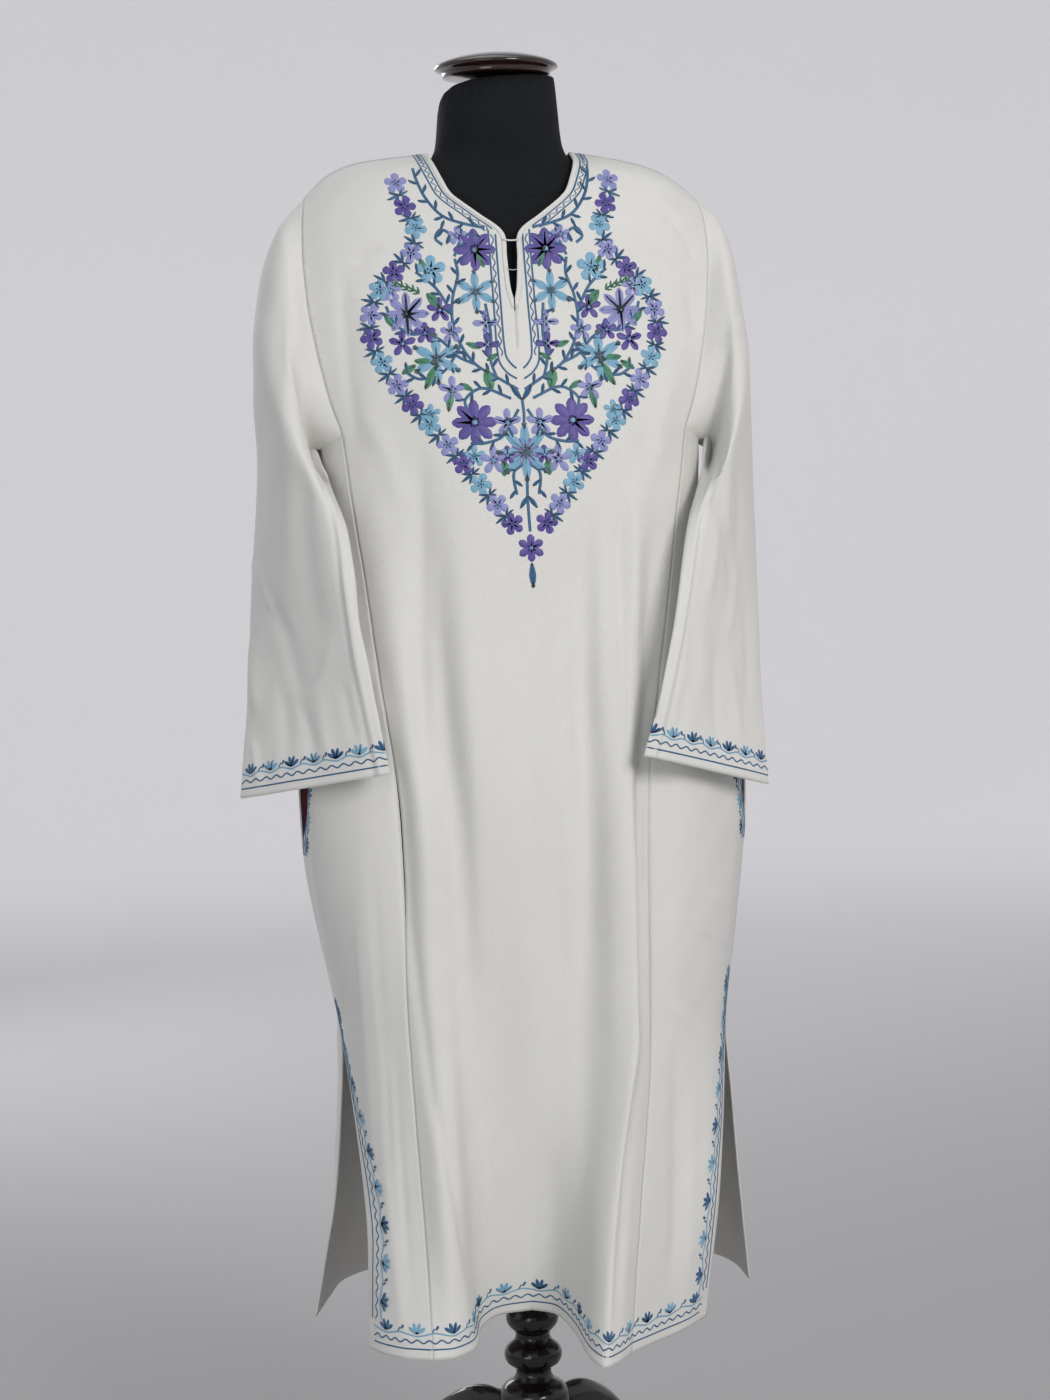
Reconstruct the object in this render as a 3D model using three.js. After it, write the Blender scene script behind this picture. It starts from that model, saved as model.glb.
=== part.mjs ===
// A long loose tunic (a pheran) shown on a limbless dress form with a turned wooden stand.
// Millimetres, +Z up. The origin is on the floor under the middle of the whole outline, +X is
// the viewer's right and the front of the tunic faces -Y. The tables are measured from the
// post's own axis, and the group is moved by AXIS_X at the end.
import * as THREE from "three";

// ---------------------------------------------------------------- driving dimensions
const CLOTH = 1.5;            // wall of every cloth piece
const GAP = 0.4;              // each joined edge stops this far short of the seam line
const ARMHOLE_GAP = 1.6;      // and each sleeve this far
const SLIT_TOP_Z = 560;       // where the side slits open
const UNDERARM_Z = 1116;
const UNDERARM_RISE = 2;      // the armhole's lowest point is this far above it
const HIP_Z = 800;
const WAIST_Z = 960;
const SHIN_Z = 420;
const KEYHOLE_BOTTOM_Z = 1238;
const KEYHOLE_HALF_WIDTH = 7;
const SHOULDER_ROLL = 75;     // how far below the seam the shoulder starts to curve over
const SECTION_POWER = 2.4;    // squareness of the body in plan
const SHOULDER_SEAM_Y = 3;
const ARCH_POWER = 4;         // how late the rows take on the arch of the shoulder
const POCKET_Z = 815;         // middle of the pocket mouths in the side seams
const POCKET_HALF_HEIGHT = 63;
const POCKET_GAPE = 4;        // how far each lip of a pocket mouth stands from the seam line
const POCKET_FORWARD = 32;    // and how far the seam is drawn forward at the mouth,
const POCKET_DRAW = 120;      // from this far above it to this far below it,
const POCKET_ROUND = 0.017;   // which brings it in by this share of its distance from the middle
const POST_SIDES = 28;
const AXIS_X = 13;            // the post stands this far from the middle of the whole outline

// ---------------------------------------------------------------- materials
const plain = (colour, roughness) =>
  new THREE.MeshStandardMaterial({ color: colour, roughness, metalness: 0 });
const offWhiteCotton = plain(0xdad8d0, 0.9);
const darkRedCotton = plain(0x4b0a12, 0.9);
const blackJersey = plain(0x161a1c, 0.85);
const blackLacquer = plain(0x0c0b0b, 0.2);

const part = new THREE.Group();

// ---------------------------------------------------------------- small helpers
const vec = (x, y, z) => new THREE.Vector3(x, y, z);
const mix = (a, b, t) => a + (b - a) * t;

// Smooth curve through rows of a table: column `col` against the first column.
function along(rows, col, at) {
  const n = rows.length;
  if (at <= rows[0][0]) return rows[0][col];
  if (at >= rows[n - 1][0]) return rows[n - 1][col];
  let k = 0;
  while (rows[k + 1][0] < at) k += 1;
  const slope = (i) => {
    const a = Math.max(i - 1, 0);
    const b = Math.min(i + 1, n - 1);
    return (rows[b][col] - rows[a][col]) / (rows[b][0] - rows[a][0]);
  };
  const span = rows[k + 1][0] - rows[k][0];
  const t = (at - rows[k][0]) / span;
  const t2 = t * t;
  const t3 = t2 * t;
  return (2 * t3 - 3 * t2 + 1) * rows[k][col] + (t3 - 2 * t2 + t) * span * slope(k)
    + (3 * t2 - 2 * t3) * rows[k + 1][col] + (t3 - t2) * span * slope(k + 1);
}

// One extra point between each two points of a row, on a smooth curve through them.
function halved(points) {
  const out = [];
  const last = points.length - 1;
  for (let i = 0; i < last; i += 1) {
    const before = points[Math.max(i - 1, 0)];
    const after = points[Math.min(i + 2, last)];
    const middle = points[i].clone().add(points[i + 1]).multiplyScalar(0.5625);
    middle.addScaledVector(before, -0.0625).addScaledVector(after, -0.0625);
    out.push(points[i], middle);
  }
  out.push(points[last]);
  return out;
}

// ---------------------------------------------------------------- the body's smooth shape
// Depth of the cloth in front of and behind the shoulder line, up the body.
const DEPTHS = [
  // z, front, back, half width
  [700, 124, 118, 216],
  [800, 122, 116, 216],
  [880, 119, 106, 203],
  [960, 118, 99, 185],
  [1060, 119, 98, 180],
  [1116, 120, 101, 184],
  [1145, 118, 102, 194],
  [1180, 113, 103, 204],
  [1237, 100, 104, 211],
  [1314, 87, 103, 213],
  [1350, 81, 102, 210],
  [1400, 76, 101, 204],
];

// Height of the shoulder seam at a distance from the middle.
const SHOULDER_LINE = [
  // x, z on the right, z on the left
  [0, 1399, 1399],
  [60, 1397, 1397.5],
  [100, 1391.5, 1394],
  [140, 1382, 1388],
  [165, 1370, 1377],
  [186, 1353, 1357],
];
const shoulderZ = (x) => along(SHOULDER_LINE, x < 0 ? 2 : 1, Math.abs(x));

function depthAt(x, z, front) {
  const width = along(DEPTHS, 3, z);
  const depth = along(DEPTHS, front ? 1 : 2, z);
  const side = Math.min(Math.abs(x) / width, 1);
  const section = Math.pow(Math.max(1 - Math.pow(side, SECTION_POWER), 0), 1 / SECTION_POWER);
  const below = (shoulderZ(x) - z) / SHOULDER_ROLL;
  const t = Math.min(Math.max(below, 0), 1);
  const roll = Math.sqrt(1 - (1 - t) * (1 - t));
  return SHOULDER_SEAM_Y * (1 - t) + (front ? -1 : 1) * depth * section * roll;
}

// Lines down the front, from the left side edge to the right one. Down to the hip they lie on
// the smooth body, pushed forward by `fold`; below it each has its own place in plan.
const FRONT_LINES = [
  // x at underarm, waist, hip; fold at waist, hip; slit x, y; shin x, y; hem x, y, z
  [-182, -185, -214, 0, 0, -177, 0, -164, -92, -166, -112, 285],
  [-178, -174, -197, 0, 0, -171, -50, -153, -108, -155, -134, 285],
  [-170, -158, -164, 0, 2, -150, -90, -137, -122, -137, -153, 285],
  [-159, -141, -123, 0, 0, -119, -112, -113, -133, -110, -165, 285],
  [-132, -121, -104, 4, 8, -100, -126, -95, -151, -88, -162, 285],
  [-105, -99, -88, -3, -2, -84, -124, -77, -141, -67, -139, 287],
  [-80, -80, -72, -6, -7, -70, -111, -65, -108, -57, -94, 293],
  [-45, -52, -50, 4, 6, -49, -107, -46, -96, -42, -78, 298],
  [0, 0, 0, 0, 2, -1, -112, -4, -98, -8, -73, 300],
  [42, 32, 28, -2, 3, 26, -114, 18, -106, 14, -84, 298],
  [72, 56, 52, -5, -6, 50, -120, 35, -124, 26, -122, 291],
  [98, 78, 74, 3, 10, 73, -140, 49, -160, 32, -180, 283],
  [122, 98, 92, 6, 16, 89, -149, 62, -173, 43, -201, 279],
  [140, 116, 101, -4, -3, 98, -130, 76, -159, 58, -188, 279],
  [159, 136, 112, 0, -2, 106, -117, 90, -141, 74, -160, 279],
  [170, 155, 152, 0, 3, 140, -93, 128, -110, 108, -124, 279],
  [178, 174, 196, 0, 0, 178, -52, 161, -90, 138, -98, 281],
  [182, 185, 222, 0, 0, 199, 0, 178, -68, 160, -72, 284],
];
const LEFT_SEAM = 3;
const RIGHT_SEAM = 14;
const CENTRE = 8;

// Lines down the back, from the left side edge to the right one, in the same columns.
const BACK_LINES = [
  [-182, -185, -214, 0, 0, -177, 0, -185, 8, -211, 4, 285],
  [-178, -175, -198, 0, 0, -177, 56, -184, 66, -194, 74, 286],
  [-150, -150, -166, 0, 2, -160, 98, -166, 118, -174, 134, 286],
  [-108, -108, -120, 0, -2, -118, 116, -122, 144, -134, 172, 286],
  [-72, -72, -76, 2, 4, -80, 126, -84, 140, -90, 158, 288],
  [-36, -36, -38, 0, 0, -38, 126, -40, 142, -44, 152, 289],
  [0, 0, 0, 3, 6, 0, 134, 0, 154, 2, 174, 288],
  [36, 36, 38, 0, 0, 40, 127, 42, 145, 46, 158, 288],
  [72, 72, 78, 0, 3, 82, 129, 90, 148, 98, 164, 288],
  [108, 108, 124, 2, 0, 124, 120, 136, 144, 150, 184, 286],
  [150, 150, 168, 0, 2, 168, 100, 180, 126, 194, 164, 286],
  [178, 175, 200, 0, 0, 194, 54, 206, 80, 220, 116, 285],
  [182, 185, 222, 0, 0, 199, 0, 211, 22, 226, 50, 284],
];

// Where a line is at a height, from the hem (0) to the slit top (1) and on up to the underarm.
function linePoint(line, z, front) {
  const sign = front ? -1 : 1;
  const [underarm, waist, hip, foldWaist, foldHip, slitX, slitY, shinX, shinY, hemX, hemY, hemZ] = line;
  const edge = line === FRONT_LINES[0] || line === FRONT_LINES.at(-1)
    || line === BACK_LINES[0] || line === BACK_LINES.at(-1);
  const onBody = (x, level, fold) => (edge ? 0 : depthAt(x, level, front) + sign * fold);
  let heights = [
    [hemZ, hemX, hemY],
    [SHIN_Z, shinX, shinY],
    [SLIT_TOP_Z, slitX, slitY],
    [HIP_Z, hip, onBody(hip, HIP_Z, foldHip)],
    [WAIST_Z, waist, onBody(waist, WAIST_Z, foldWaist)],
    [UNDERARM_Z, underarm, onBody(underarm, UNDERARM_Z, 0)],
  ];
  // The side edges kink where the slit opens, so each part of them is its own curve.
  if (edge) heights = z < SLIT_TOP_Z ? heights.slice(0, 3) : heights.slice(2);
  const x = along(heights, 1, z);
  const y = along(heights, 2, z);
  if (!edge) return vec(x, y, z);
  const from = (z - POCKET_Z) / POCKET_DRAW;
  const drawn = Math.pow(Math.max(1 - from * from, 0), 2);
  const lip = Math.max(1 - Math.abs(z - POCKET_Z) / POCKET_HALF_HEIGHT, 0);
  return vec(x * (1 - POCKET_ROUND * drawn), y - POCKET_FORWARD * drawn + sign * POCKET_GAPE * lip, z);
}

// Heights of the rows below the underarm; the first four are shares of the drop from slit to hem.
const SLIT_ROWS = [0, 0.2, 0.42, 0.7];
const UPPER_ROWS = [560, 608, 660, 715, 765, 815, 870, 930, 1000, 1060, UNDERARM_Z];

function lowerRows(lines, front) {
  const slit = SLIT_ROWS.map((share) => lines.map((line) =>
    linePoint(line, mix(line[11], SLIT_TOP_Z, share), front)));
  const rest = UPPER_ROWS.map((z) => lines.map((line) => linePoint(line, z, front)));
  return slit.concat(rest);
}

// ---------------------------------------------------------------- neckline and armhole
// Half outlines from the bottom up to the shoulder seam, as share of the way, x and z.
const FRONT_NECK = [
  [0, 0, 1131],
  [0.12, 0, 1160],
  [0.24, 0, 1200],
  [0.34, 0, KEYHOLE_BOTTOM_Z],
  [0.44, 5, 1262],
  [0.54, KEYHOLE_HALF_WIDTH, 1290],
  [0.64, 9, 1313],
  [0.76, 31, 1331],
  [0.86, 54, 1350],
  [0.92, 62, 1366],
  [0.965, 68, 1383],
  [1, 70, 1396],
];
const BACK_NECK = [
  [0.15, 0, 1172],
  [0.3, 0, 1232],
  [0.45, 0, 1288],
  [0.6, 0, 1338],
  [0.72, 0, 1372],
  [0.82, 26, 1376],
  [0.91, 50, 1383],
  [0.96, 64, 1389],
  [1, 70, 1396],
];
const FRONT_ARMHOLE = [
  [0, 161, 1131],
  [0.18, 172, 1165],
  [0.38, 181, 1206],
  [0.6, 188, 1252],
  [0.78, 191, 1293],
  [0.92, 190, 1330],
  [1, 186, 1353],
];
const BACK_ARMHOLE = [
  [0, 182, 1116],
  [0.18, 178, 1152],
  [0.4, 183, 1210],
  [0.65, 187, 1275],
  [0.88, 188, 1330],
  [1, 186, 1353],
];

// Rows from the underarm up to the shoulder seam: straight across in front view low down,
// then more and more arched, until the last one lies on the shoulder line.
function shoulderRows(neck, armhole, across, sign, front) {
  const seamNeck = neck.at(-1);
  const seamTip = armhole.at(-1);
  return neck.map(([share, neckX, neckZ]) => across.map((f) => {
    const x = mix(neckX, along(armhole, 1, share), f);
    const seamX = mix(seamNeck[1], seamTip[1], f);
    const arch = shoulderZ(sign * seamX) - mix(seamNeck[2], seamTip[2], f);
    const z = mix(neckZ, along(armhole, 2, share), f) + arch * Math.pow(share, ARCH_POWER);
    return vec(sign * x, share === 1 ? SHOULDER_SEAM_Y : depthAt(x, z, front), z);
  }));
}

// ---------------------------------------------------------------- surfaces of the body pieces
const frontLower = lowerRows(FRONT_LINES, true);
const backLower = lowerRows(BACK_LINES, false);
const columns = (rows, from, to) => rows.map((row) => row.slice(from, to + 1));

function upperHalf(lower, centre, outer, neck, armhole, front) {
  const top = lower.at(-1);
  const sign = Math.sign(outer - centre);
  const across = [];
  for (let i = centre; i !== outer + sign; i += sign) across.push(top[i].x / top[outer].x);
  const rows = shoulderRows(neck, armhole, across, sign, front);
  return sign > 0 ? rows : rows.map((row) => row.reverse());
}

const smooth = (rows) => rows.map(halved);
const lastBack = BACK_LINES.length - 1;
const backCentre = lastBack / 2;
const frontLeft = smooth([
  ...columns(frontLower, LEFT_SEAM, CENTRE),
  ...upperHalf(frontLower, CENTRE, LEFT_SEAM, FRONT_NECK, FRONT_ARMHOLE, true)]);
const frontRight = smooth([
  ...columns(frontLower, CENTRE, RIGHT_SEAM),
  ...upperHalf(frontLower, CENTRE, RIGHT_SEAM, FRONT_NECK, FRONT_ARMHOLE, true)]);
const backLeft = smooth([
  ...columns(backLower, 0, backCentre),
  ...upperHalf(backLower, backCentre, 0, BACK_NECK, BACK_ARMHOLE, false)]);
const backRight = smooth([
  ...columns(backLower, backCentre, lastBack),
  ...upperHalf(backLower, backCentre, lastBack, BACK_NECK, BACK_ARMHOLE, false)]);

// A side panel's last row is the low part of the armhole, from the front seam to the side seam.
function sidePanel(from, to, seamIsFirst) {
  const rows = columns(frontLower, from, to);
  const top = rows.at(-1);
  const side = seamIsFirst ? top.at(-1) : top[0];
  const seam = seamIsFirst ? top[0] : top.at(-1);
  const sign = Math.sign(side.x);
  const seamX = FRONT_ARMHOLE[0][1];
  const seamZ = FRONT_ARMHOLE[0][2];
  rows.push(top.map((p) => {
    const f = (p.x - seam.x) / (side.x - seam.x);
    const x = sign * mix(seamX, Math.abs(side.x), f);
    const z = mix(seamZ, UNDERARM_Z + UNDERARM_RISE, f);
    return vec(x, f > 0.99 ? 0 : depthAt(x, z, true), z);
  }));
  return smooth(rows);
}
const sideLeft = sidePanel(0, LEFT_SEAM, false);
const sideRight = sidePanel(RIGHT_SEAM, FRONT_LINES.length - 1, true);

// ---------------------------------------------------------------- sleeves
// Stations down each sleeve: the outer fold, the inner fold and the half thickness.
const LEFT_SLEEVE = [
  // outer x, y, z; inner x, y, z; half thickness to the front, to the back; outward turn
  [-210, 3, 1330, -191, -18, 1110, 66, 66, 0.02],
  [-227, 3, 1284, -185, -54, 1098, 58, 46, 0.05],
  [-233, 4, 1218, -174, -90, 1079, 46, 24, 0.25],
  [-234, 12, 1130, -162, -114, 1043, 30, 14, 0.4],
  [-244, 14, 1010, -154, -130, 965, 17, 12, 0.5],
  [-254, -10, 900, -143, -136, 893, 12, 9, 0.5],
  [-265, -44, 796, -131, -140, 822, 9, 7, 0.5],
];
const RIGHT_SLEEVE = [
  [208, 3, 1330, 191, -18, 1110, 64, 66, 0.02],
  [220, 3, 1284, 188, -54, 1098, 56, 44, 0.05],
  [222, 4, 1218, 177, -92, 1079, 44, 20, 0.25],
  [230, 10, 1130, 156, -116, 1043, 28, 12, 0.4],
  [238, 4, 1010, 138, -138, 965, 16, 9, 0.5],
  [234, -30, 900, 120, -152, 896, 12, 6, 0.5],
  [232, -70, 792, 100, -158, 831, 9, 6, 0.5],
];

// The armhole as a loop: shoulder, front edge, underarm, back edge.
function armhole(frontHalf, sideRows, backHalf, left) {
  const edge = (rows, atStart) => rows.map((row) => (atStart ? row[0] : row.at(-1)));
  const underarmRow = frontLower.length;
  const frontEdge = edge(frontHalf.slice(underarmRow), left).reverse();
  const sideTop = left ? [...sideRows.at(-1)].reverse() : sideRows.at(-1);
  const backEdge = edge(backHalf.slice(underarmRow), left);
  const aboveSide = frontEdge.filter((p) => p.z > FRONT_ARMHOLE[0][2] + 2 * UNDERARM_RISE);
  return { front: [...aboveSide, ...sideTop], back: backEdge.slice(0, -1) };
}

function sleeveRows(loop, stations, side) {
  const points = [...loop.front, ...loop.back];
  const turns = [];
  const spread = (list, from, to) => {
    const steps = [0];
    for (let i = 1; i < list.length; i += 1) {
      steps.push(steps[i - 1] + list[i].distanceTo(list[i - 1]));
    }
    return steps.map((s) => mix(from, to, s / steps.at(-1)));
  };
  turns.push(...spread(loop.front, 0, 0.5));
  turns.push(...spread([loop.front.at(-1), ...loop.back, points[0]], 0.5, 1).slice(1, -1));
  const rings = [points];
  for (const [ox, oy, oz, ix, iy, iz, frontHalf, backHalf, lean] of stations) {
    const outer = vec(ox, oy, oz);
    const inner = vec(ix, iy, iz);
    const middle = outer.clone().add(inner).multiplyScalar(0.5);
    const reach = outer.clone().sub(inner).multiplyScalar(0.5);
    const across = vec(side * lean, -1, 0).projectOnPlane(reach).normalize();
    rings.push(turns.map((t) => {
      const angle = 2 * Math.PI * t;
      const half = t < 0.5 ? frontHalf : backHalf;
      return middle.clone().addScaledVector(reach, Math.cos(angle))
        .addScaledVector(across, half * Math.sin(angle));
    }));
  }
  // Along each line of the cloth, one more smooth point between stations.
  const lines = points.map((_, i) => halved(rings.map((ring) => ring[i])));
  return lines[0].map((_, j) => lines.map((line) => line[j]));
}
const closed = (rows) => rows.map((row) => [...row, row[0]]);
const leftHole = armhole(frontLeft, sideLeft, backLeft, true);
const rightHole = armhole(frontRight, sideRight, backRight, false);
const sleeveLeft = closed(sleeveRows(leftHole, LEFT_SLEEVE, -1));
const sleeveRight = closed(sleeveRows(rightHole, RIGHT_SLEEVE, 1));

// ---------------------------------------------------------------- walls from surfaces
const keyOf = (p) => `${p.x.toFixed(2)},${p.y.toFixed(2)},${p.z.toFixed(2)}`;

// Facets of a grid of rows, turned so that their fronts face away from the wearer.
function facets(rows, flip) {
  const list = [];
  for (let j = 0; j + 1 < rows.length; j += 1) {
    for (let i = 0; i + 1 < rows[j].length; i += 1) {
      const a = rows[j][i];
      const b = rows[j][i + 1];
      const c = rows[j + 1][i + 1];
      const d = rows[j + 1][i];
      const pair = a.distanceTo(c) <= b.distanceTo(d) ? [[a, b, c], [a, c, d]] : [[a, b, d], [b, c, d]];
      pair.forEach((f) => list.push(flip ? [f[0], f[2], f[1]] : f));
    }
  }
  return list;
}

function addNormals(list, directions) {
  for (const [a, b, c] of list) {
    const normal = b.clone().sub(a).cross(c.clone().sub(a));
    for (const p of [a, b, c]) {
      const key = keyOf(p);
      if (!directions.has(key)) directions.set(key, vec(0, 0, 0));
      directions.get(key).add(normal);
    }
  }
}

// Outward directions that all the pieces share, so that they are offset alike at a seam.
const outward = new Map();
const pieces = [
  { name: "front_centre", grids: [frontLeft, frontRight], flip: false, trim: ["seams", "top"] },
  { name: "front_side_left", grids: [sideLeft], flip: false, trim: ["both", "top"] },
  { name: "front_side_right", grids: [sideRight], flip: false, trim: ["both", "top"] },
  { name: "back_panel", grids: [backLeft, backRight], flip: true, trim: ["seams", "top"] },
  { name: "sleeve_left", grids: [sleeveLeft], flip: true, trim: ["none", "bottom"] },
  { name: "sleeve_right", grids: [sleeveRight], flip: false, trim: ["none", "bottom"] },
];
for (const piece of pieces) {
  piece.facets = piece.grids.map((rows) => facets(rows, piece.flip));
  addNormals(piece.facets.flat(), outward);
}

// Points of joined edges move a little way back from the seam.
function trimmed(rows, trim, isFirst, isLast) {
  const towards = (p, q, gap) => q.clone().sub(p).setLength(gap);
  const moves = rows.map((row) => row.map(() => vec(0, 0, 0)));
  const add = (j, i, q, gap) => moves[j][i].add(towards(rows[j][i], q, gap));
  const wide = rows[0].length - 1;
  const tall = rows.length - 1;
  rows.forEach((row, j) => {
    if (trim[0] !== "none" && isFirst) add(j, 0, row[1], GAP);
    if (trim[0] !== "none" && isLast) add(j, wide, row[wide - 1], GAP);
  });
  rows[0].forEach((_, i) => {
    if (trim[1] === "top") add(tall, i, rows[tall - 1][i], 2 * GAP);
    if (trim[1] === "bottom") add(0, i, rows[1][i], ARMHOLE_GAP);
  });
  return rows.map((row, j) => row.map((p, i) => p.clone().add(moves[j][i])));
}

// A closed wall: outer skin, inner skin and a strip round every open edge.
function wall(outerFacets, places, directions, thickness) {
  const index = new Map();
  const outer = [];
  const inner = [];
  const idOf = (p) => {
    const place = places.get(p);
    const key = keyOf(place);
    if (!index.has(key)) {
      index.set(key, outer.length);
      outer.push(place);
      inner.push(place.clone().addScaledVector(directions.get(keyOf(p)).clone().normalize(), -thickness));
    }
    return index.get(key);
  };
  const triangles = [];
  const edges = new Map();
  for (const facet of outerFacets) {
    const ids = facet.map(idOf);
    if (new Set(ids).size < 3) continue;
    triangles.push(ids);
    for (let k = 0; k < 3; k += 1) edges.set(`${ids[k]}_${ids[(k + 1) % 3]}`, [ids[k], ids[(k + 1) % 3]]);
  }
  const count = outer.length;
  const faces = triangles.flatMap(([a, b, c]) => [[a, b, c], [a + count, c + count, b + count]]);
  for (const [a, b] of edges.values()) {
    if (!edges.has(`${b}_${a}`)) faces.push([b, a, a + count], [b, a + count, b + count]);
  }
  const geometry = new THREE.BufferGeometry();
  const flat = [...outer, ...inner].flatMap((p) => [p.x, p.y, p.z]);
  geometry.setAttribute("position", new THREE.Float32BufferAttribute(flat, 3));
  geometry.setIndex(faces.flat());
  geometry.computeVertexNormals();
  return geometry;
}

// A solid through a row of rings, closed by a flat fan at each end.
function ringSolid(rings) {
  const sides = rings[0].length;
  const points = rings.flat();
  const faces = [];
  for (let j = 0; j + 1 < rings.length; j += 1) {
    for (let i = 0; i < sides; i += 1) {
      const a = j * sides + i;
      const b = j * sides + (i + 1) % sides;
      faces.push([a, b, b + sides], [a, b + sides, a + sides]);
    }
  }
  const top = points.length - sides;
  for (let i = 1; i + 1 < sides; i += 1) {
    faces.push([0, i + 1, i], [top, top + i, top + i + 1]);
  }
  const geometry = new THREE.BufferGeometry();
  geometry.setAttribute("position",
    new THREE.Float32BufferAttribute(points.flatMap((p) => [p.x, p.y, p.z]), 3));
  geometry.setIndex(faces.flat());
  geometry.computeVertexNormals();
  return geometry;
}

function addMesh(name, geometry, material) {
  const mesh = new THREE.Mesh(geometry, material);
  mesh.name = name;
  part.add(mesh);
  return mesh;
}

for (const piece of pieces) {
  const places = new Map();
  piece.grids.forEach((rows, g) => {
    const moved = trimmed(rows, piece.trim, g === 0, g === piece.grids.length - 1);
    rows.forEach((row, j) => row.forEach((p, i) => places.set(p, moved[j][i])));
  });
  addMesh(piece.name, wall(piece.facets.flat(), places, outward, CLOTH), offWhiteCotton);
}

// ---------------------------------------------------------------- neck binding and loop
const BINDING_WIDTH = 3;
const BINDING_PROUD = 0.5;    // beyond the cloth on both faces
const EDGE_GAP = 0.4;

// The edge of the neck, from the left of the keyhole slit round the back to its right.
function neckEdge() {
  const open = frontLeft.findIndex((row, j) => j > frontLower.length && row.at(-1).x < -1);
  const backNeck = backLeft.findIndex((row, j) => j > backLower.length && row.at(-1).x < -1);
  const edge = [];
  const take = (row, at, beside) => edge.push([row[at], row.at(beside)]);
  frontLeft.slice(open).forEach((row) => take(row, row.length - 1, -2));
  backLeft.slice(backNeck, -1).reverse().forEach((row) => take(row, row.length - 1, -2));
  const middle = backLeft[backNeck - 1];
  edge.push([middle.at(-1), backLeft[backNeck - 2].at(-1)]);
  backRight.slice(backNeck, -1).forEach((row) => take(row, 0, 1));
  frontRight.slice(open).reverse().forEach((row) => take(row, 0, 1));
  return edge;
}

function bindingRings() {
  return neckEdge().map(([p, beside]) => {
    const normal = outward.get(keyOf(p)).clone().normalize();
    const into = p.clone().sub(beside).projectOnPlane(normal).normalize();
    const corner = (away, out) => p.clone().addScaledVector(into, away).addScaledVector(normal, out);
    const near = EDGE_GAP;
    const far = EDGE_GAP + BINDING_WIDTH;
    const front = BINDING_PROUD;
    const back = -CLOTH - BINDING_PROUD;
    return [corner(near, front), corner(far, front), corner(far, back), corner(near, back)];
  });
}
addMesh("neck_binding", ringSolid(bindingRings()), offWhiteCotton);

// A small worked bar across the top of the slit, just in front of the binding.
const LOOP = { z: 1307, wide: 15, thick: 1.4, high: 3, clear: 2.1 };
const loop = addMesh("neck_loop", new THREE.BoxGeometry(LOOP.wide, LOOP.thick, LOOP.high), offWhiteCotton);
loop.position.set(0, depthAt(0, LOOP.z, true) - LOOP.clear, LOOP.z);

// ---------------------------------------------------------------- pocket bags
// Each hangs flat inside the side panel, its mouth edge behind the gap in the side seam.
const POCKET_ROWS = [738, 770, 805, 840, 875, 905];
const POCKET_THICKNESS = 2.4;
const LEFT_POCKET = [
  // line of the side panel; scale in from it along X and along Y
  [FRONT_LINES[0], 0.982, 0.98],
  [FRONT_LINES[1], 0.965, 0.92],
  [FRONT_LINES[2], 0.955, 0.88],
];
const RIGHT_POCKET = [
  [FRONT_LINES.at(-3), 0.955, 0.88],
  [FRONT_LINES.at(-2), 0.965, 0.92],
  [FRONT_LINES.at(-1), 0.982, 0.98],
];

function pocket(insets) {
  const rows = POCKET_ROWS.map((z) => halved(insets.map(([line, insetX, insetY]) => {
    const p = linePoint(line, z, true);
    return vec(p.x * insetX, p.y * insetY, z);
  })));
  const list = facets(rows, false);
  const directions = new Map();
  addNormals(list, directions);
  const places = new Map(rows.flat().map((p) => [p, p]));
  return wall(list, places, directions, POCKET_THICKNESS);
}
addMesh("pocket_left", pocket(LEFT_POCKET), darkRedCotton);
addMesh("pocket_right", pocket(RIGHT_POCKET), darkRedCotton);

// ---------------------------------------------------------------- dress form
// Torso and neck: sections up the body, as half width, front and back.
const FORM_SECTIONS = [
  // z, half width, front, back
  [672, 150, 104, 96],
  [700, 156, 108, 100],
  [780, 159, 112, 104],
  [850, 150, 107, 97],
  [920, 134, 98, 88],
  [990, 123, 93, 80],
  [1060, 136, 103, 84],
  [1130, 150, 111, 90],
  [1185, 153, 104, 93],
  [1240, 154, 90, 93],
  [1300, 156, 76, 91],
  [1335, 155, 68, 87],
  [1358, 134, 60, 78],
  [1370, 108, 55, 68],
  [1380, 80, 50, 60],
  [1392, 62, 50, 56],
  [1410, 59, 56, 60],
  [1466, 55, 55, 55],
];
const FORM_SIDES = 32;
const FORM_SECTION_POWER = 2.2;

const formRings = FORM_SECTIONS.map(([z, wide, front, back]) => {
  const ring = [];
  for (let i = 0; i < FORM_SIDES; i += 1) {
    const angle = 2 * Math.PI * i / FORM_SIDES;
    const bend = (v) => Math.sign(v) * Math.pow(Math.abs(v), 2 / FORM_SECTION_POWER);
    const y = bend(Math.sin(angle));
    ring.push(vec(wide * bend(Math.cos(angle)), y < 0 ? front * y : back * y, z));
  }
  return ring;
});
addMesh("form_body", ringSolid(formRings), blackJersey);

// Neck cap: a cove under a thin rounded rim, with a flat-topped dome.
function turned(profile, sides) {
  const points = profile.map(([radius, z]) => new THREE.Vector2(radius, z));
  const geometry = new THREE.LatheGeometry(points, sides);
  geometry.rotateX(Math.PI / 2);
  return geometry;
}
const NECK_CAP = [
  [0, 1466.4],
  [52, 1466.4],
  [51, 1470],
  [53, 1473],
  [57.5, 1474],
  [59, 1476],
  [57.5, 1478.2],
  [50, 1482],
  [34, 1486.5],
  [16, 1488.5],
  [0, 1489],
];
addMesh("neck_cap", turned(NECK_CAP, POST_SIDES), blackLacquer);

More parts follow.
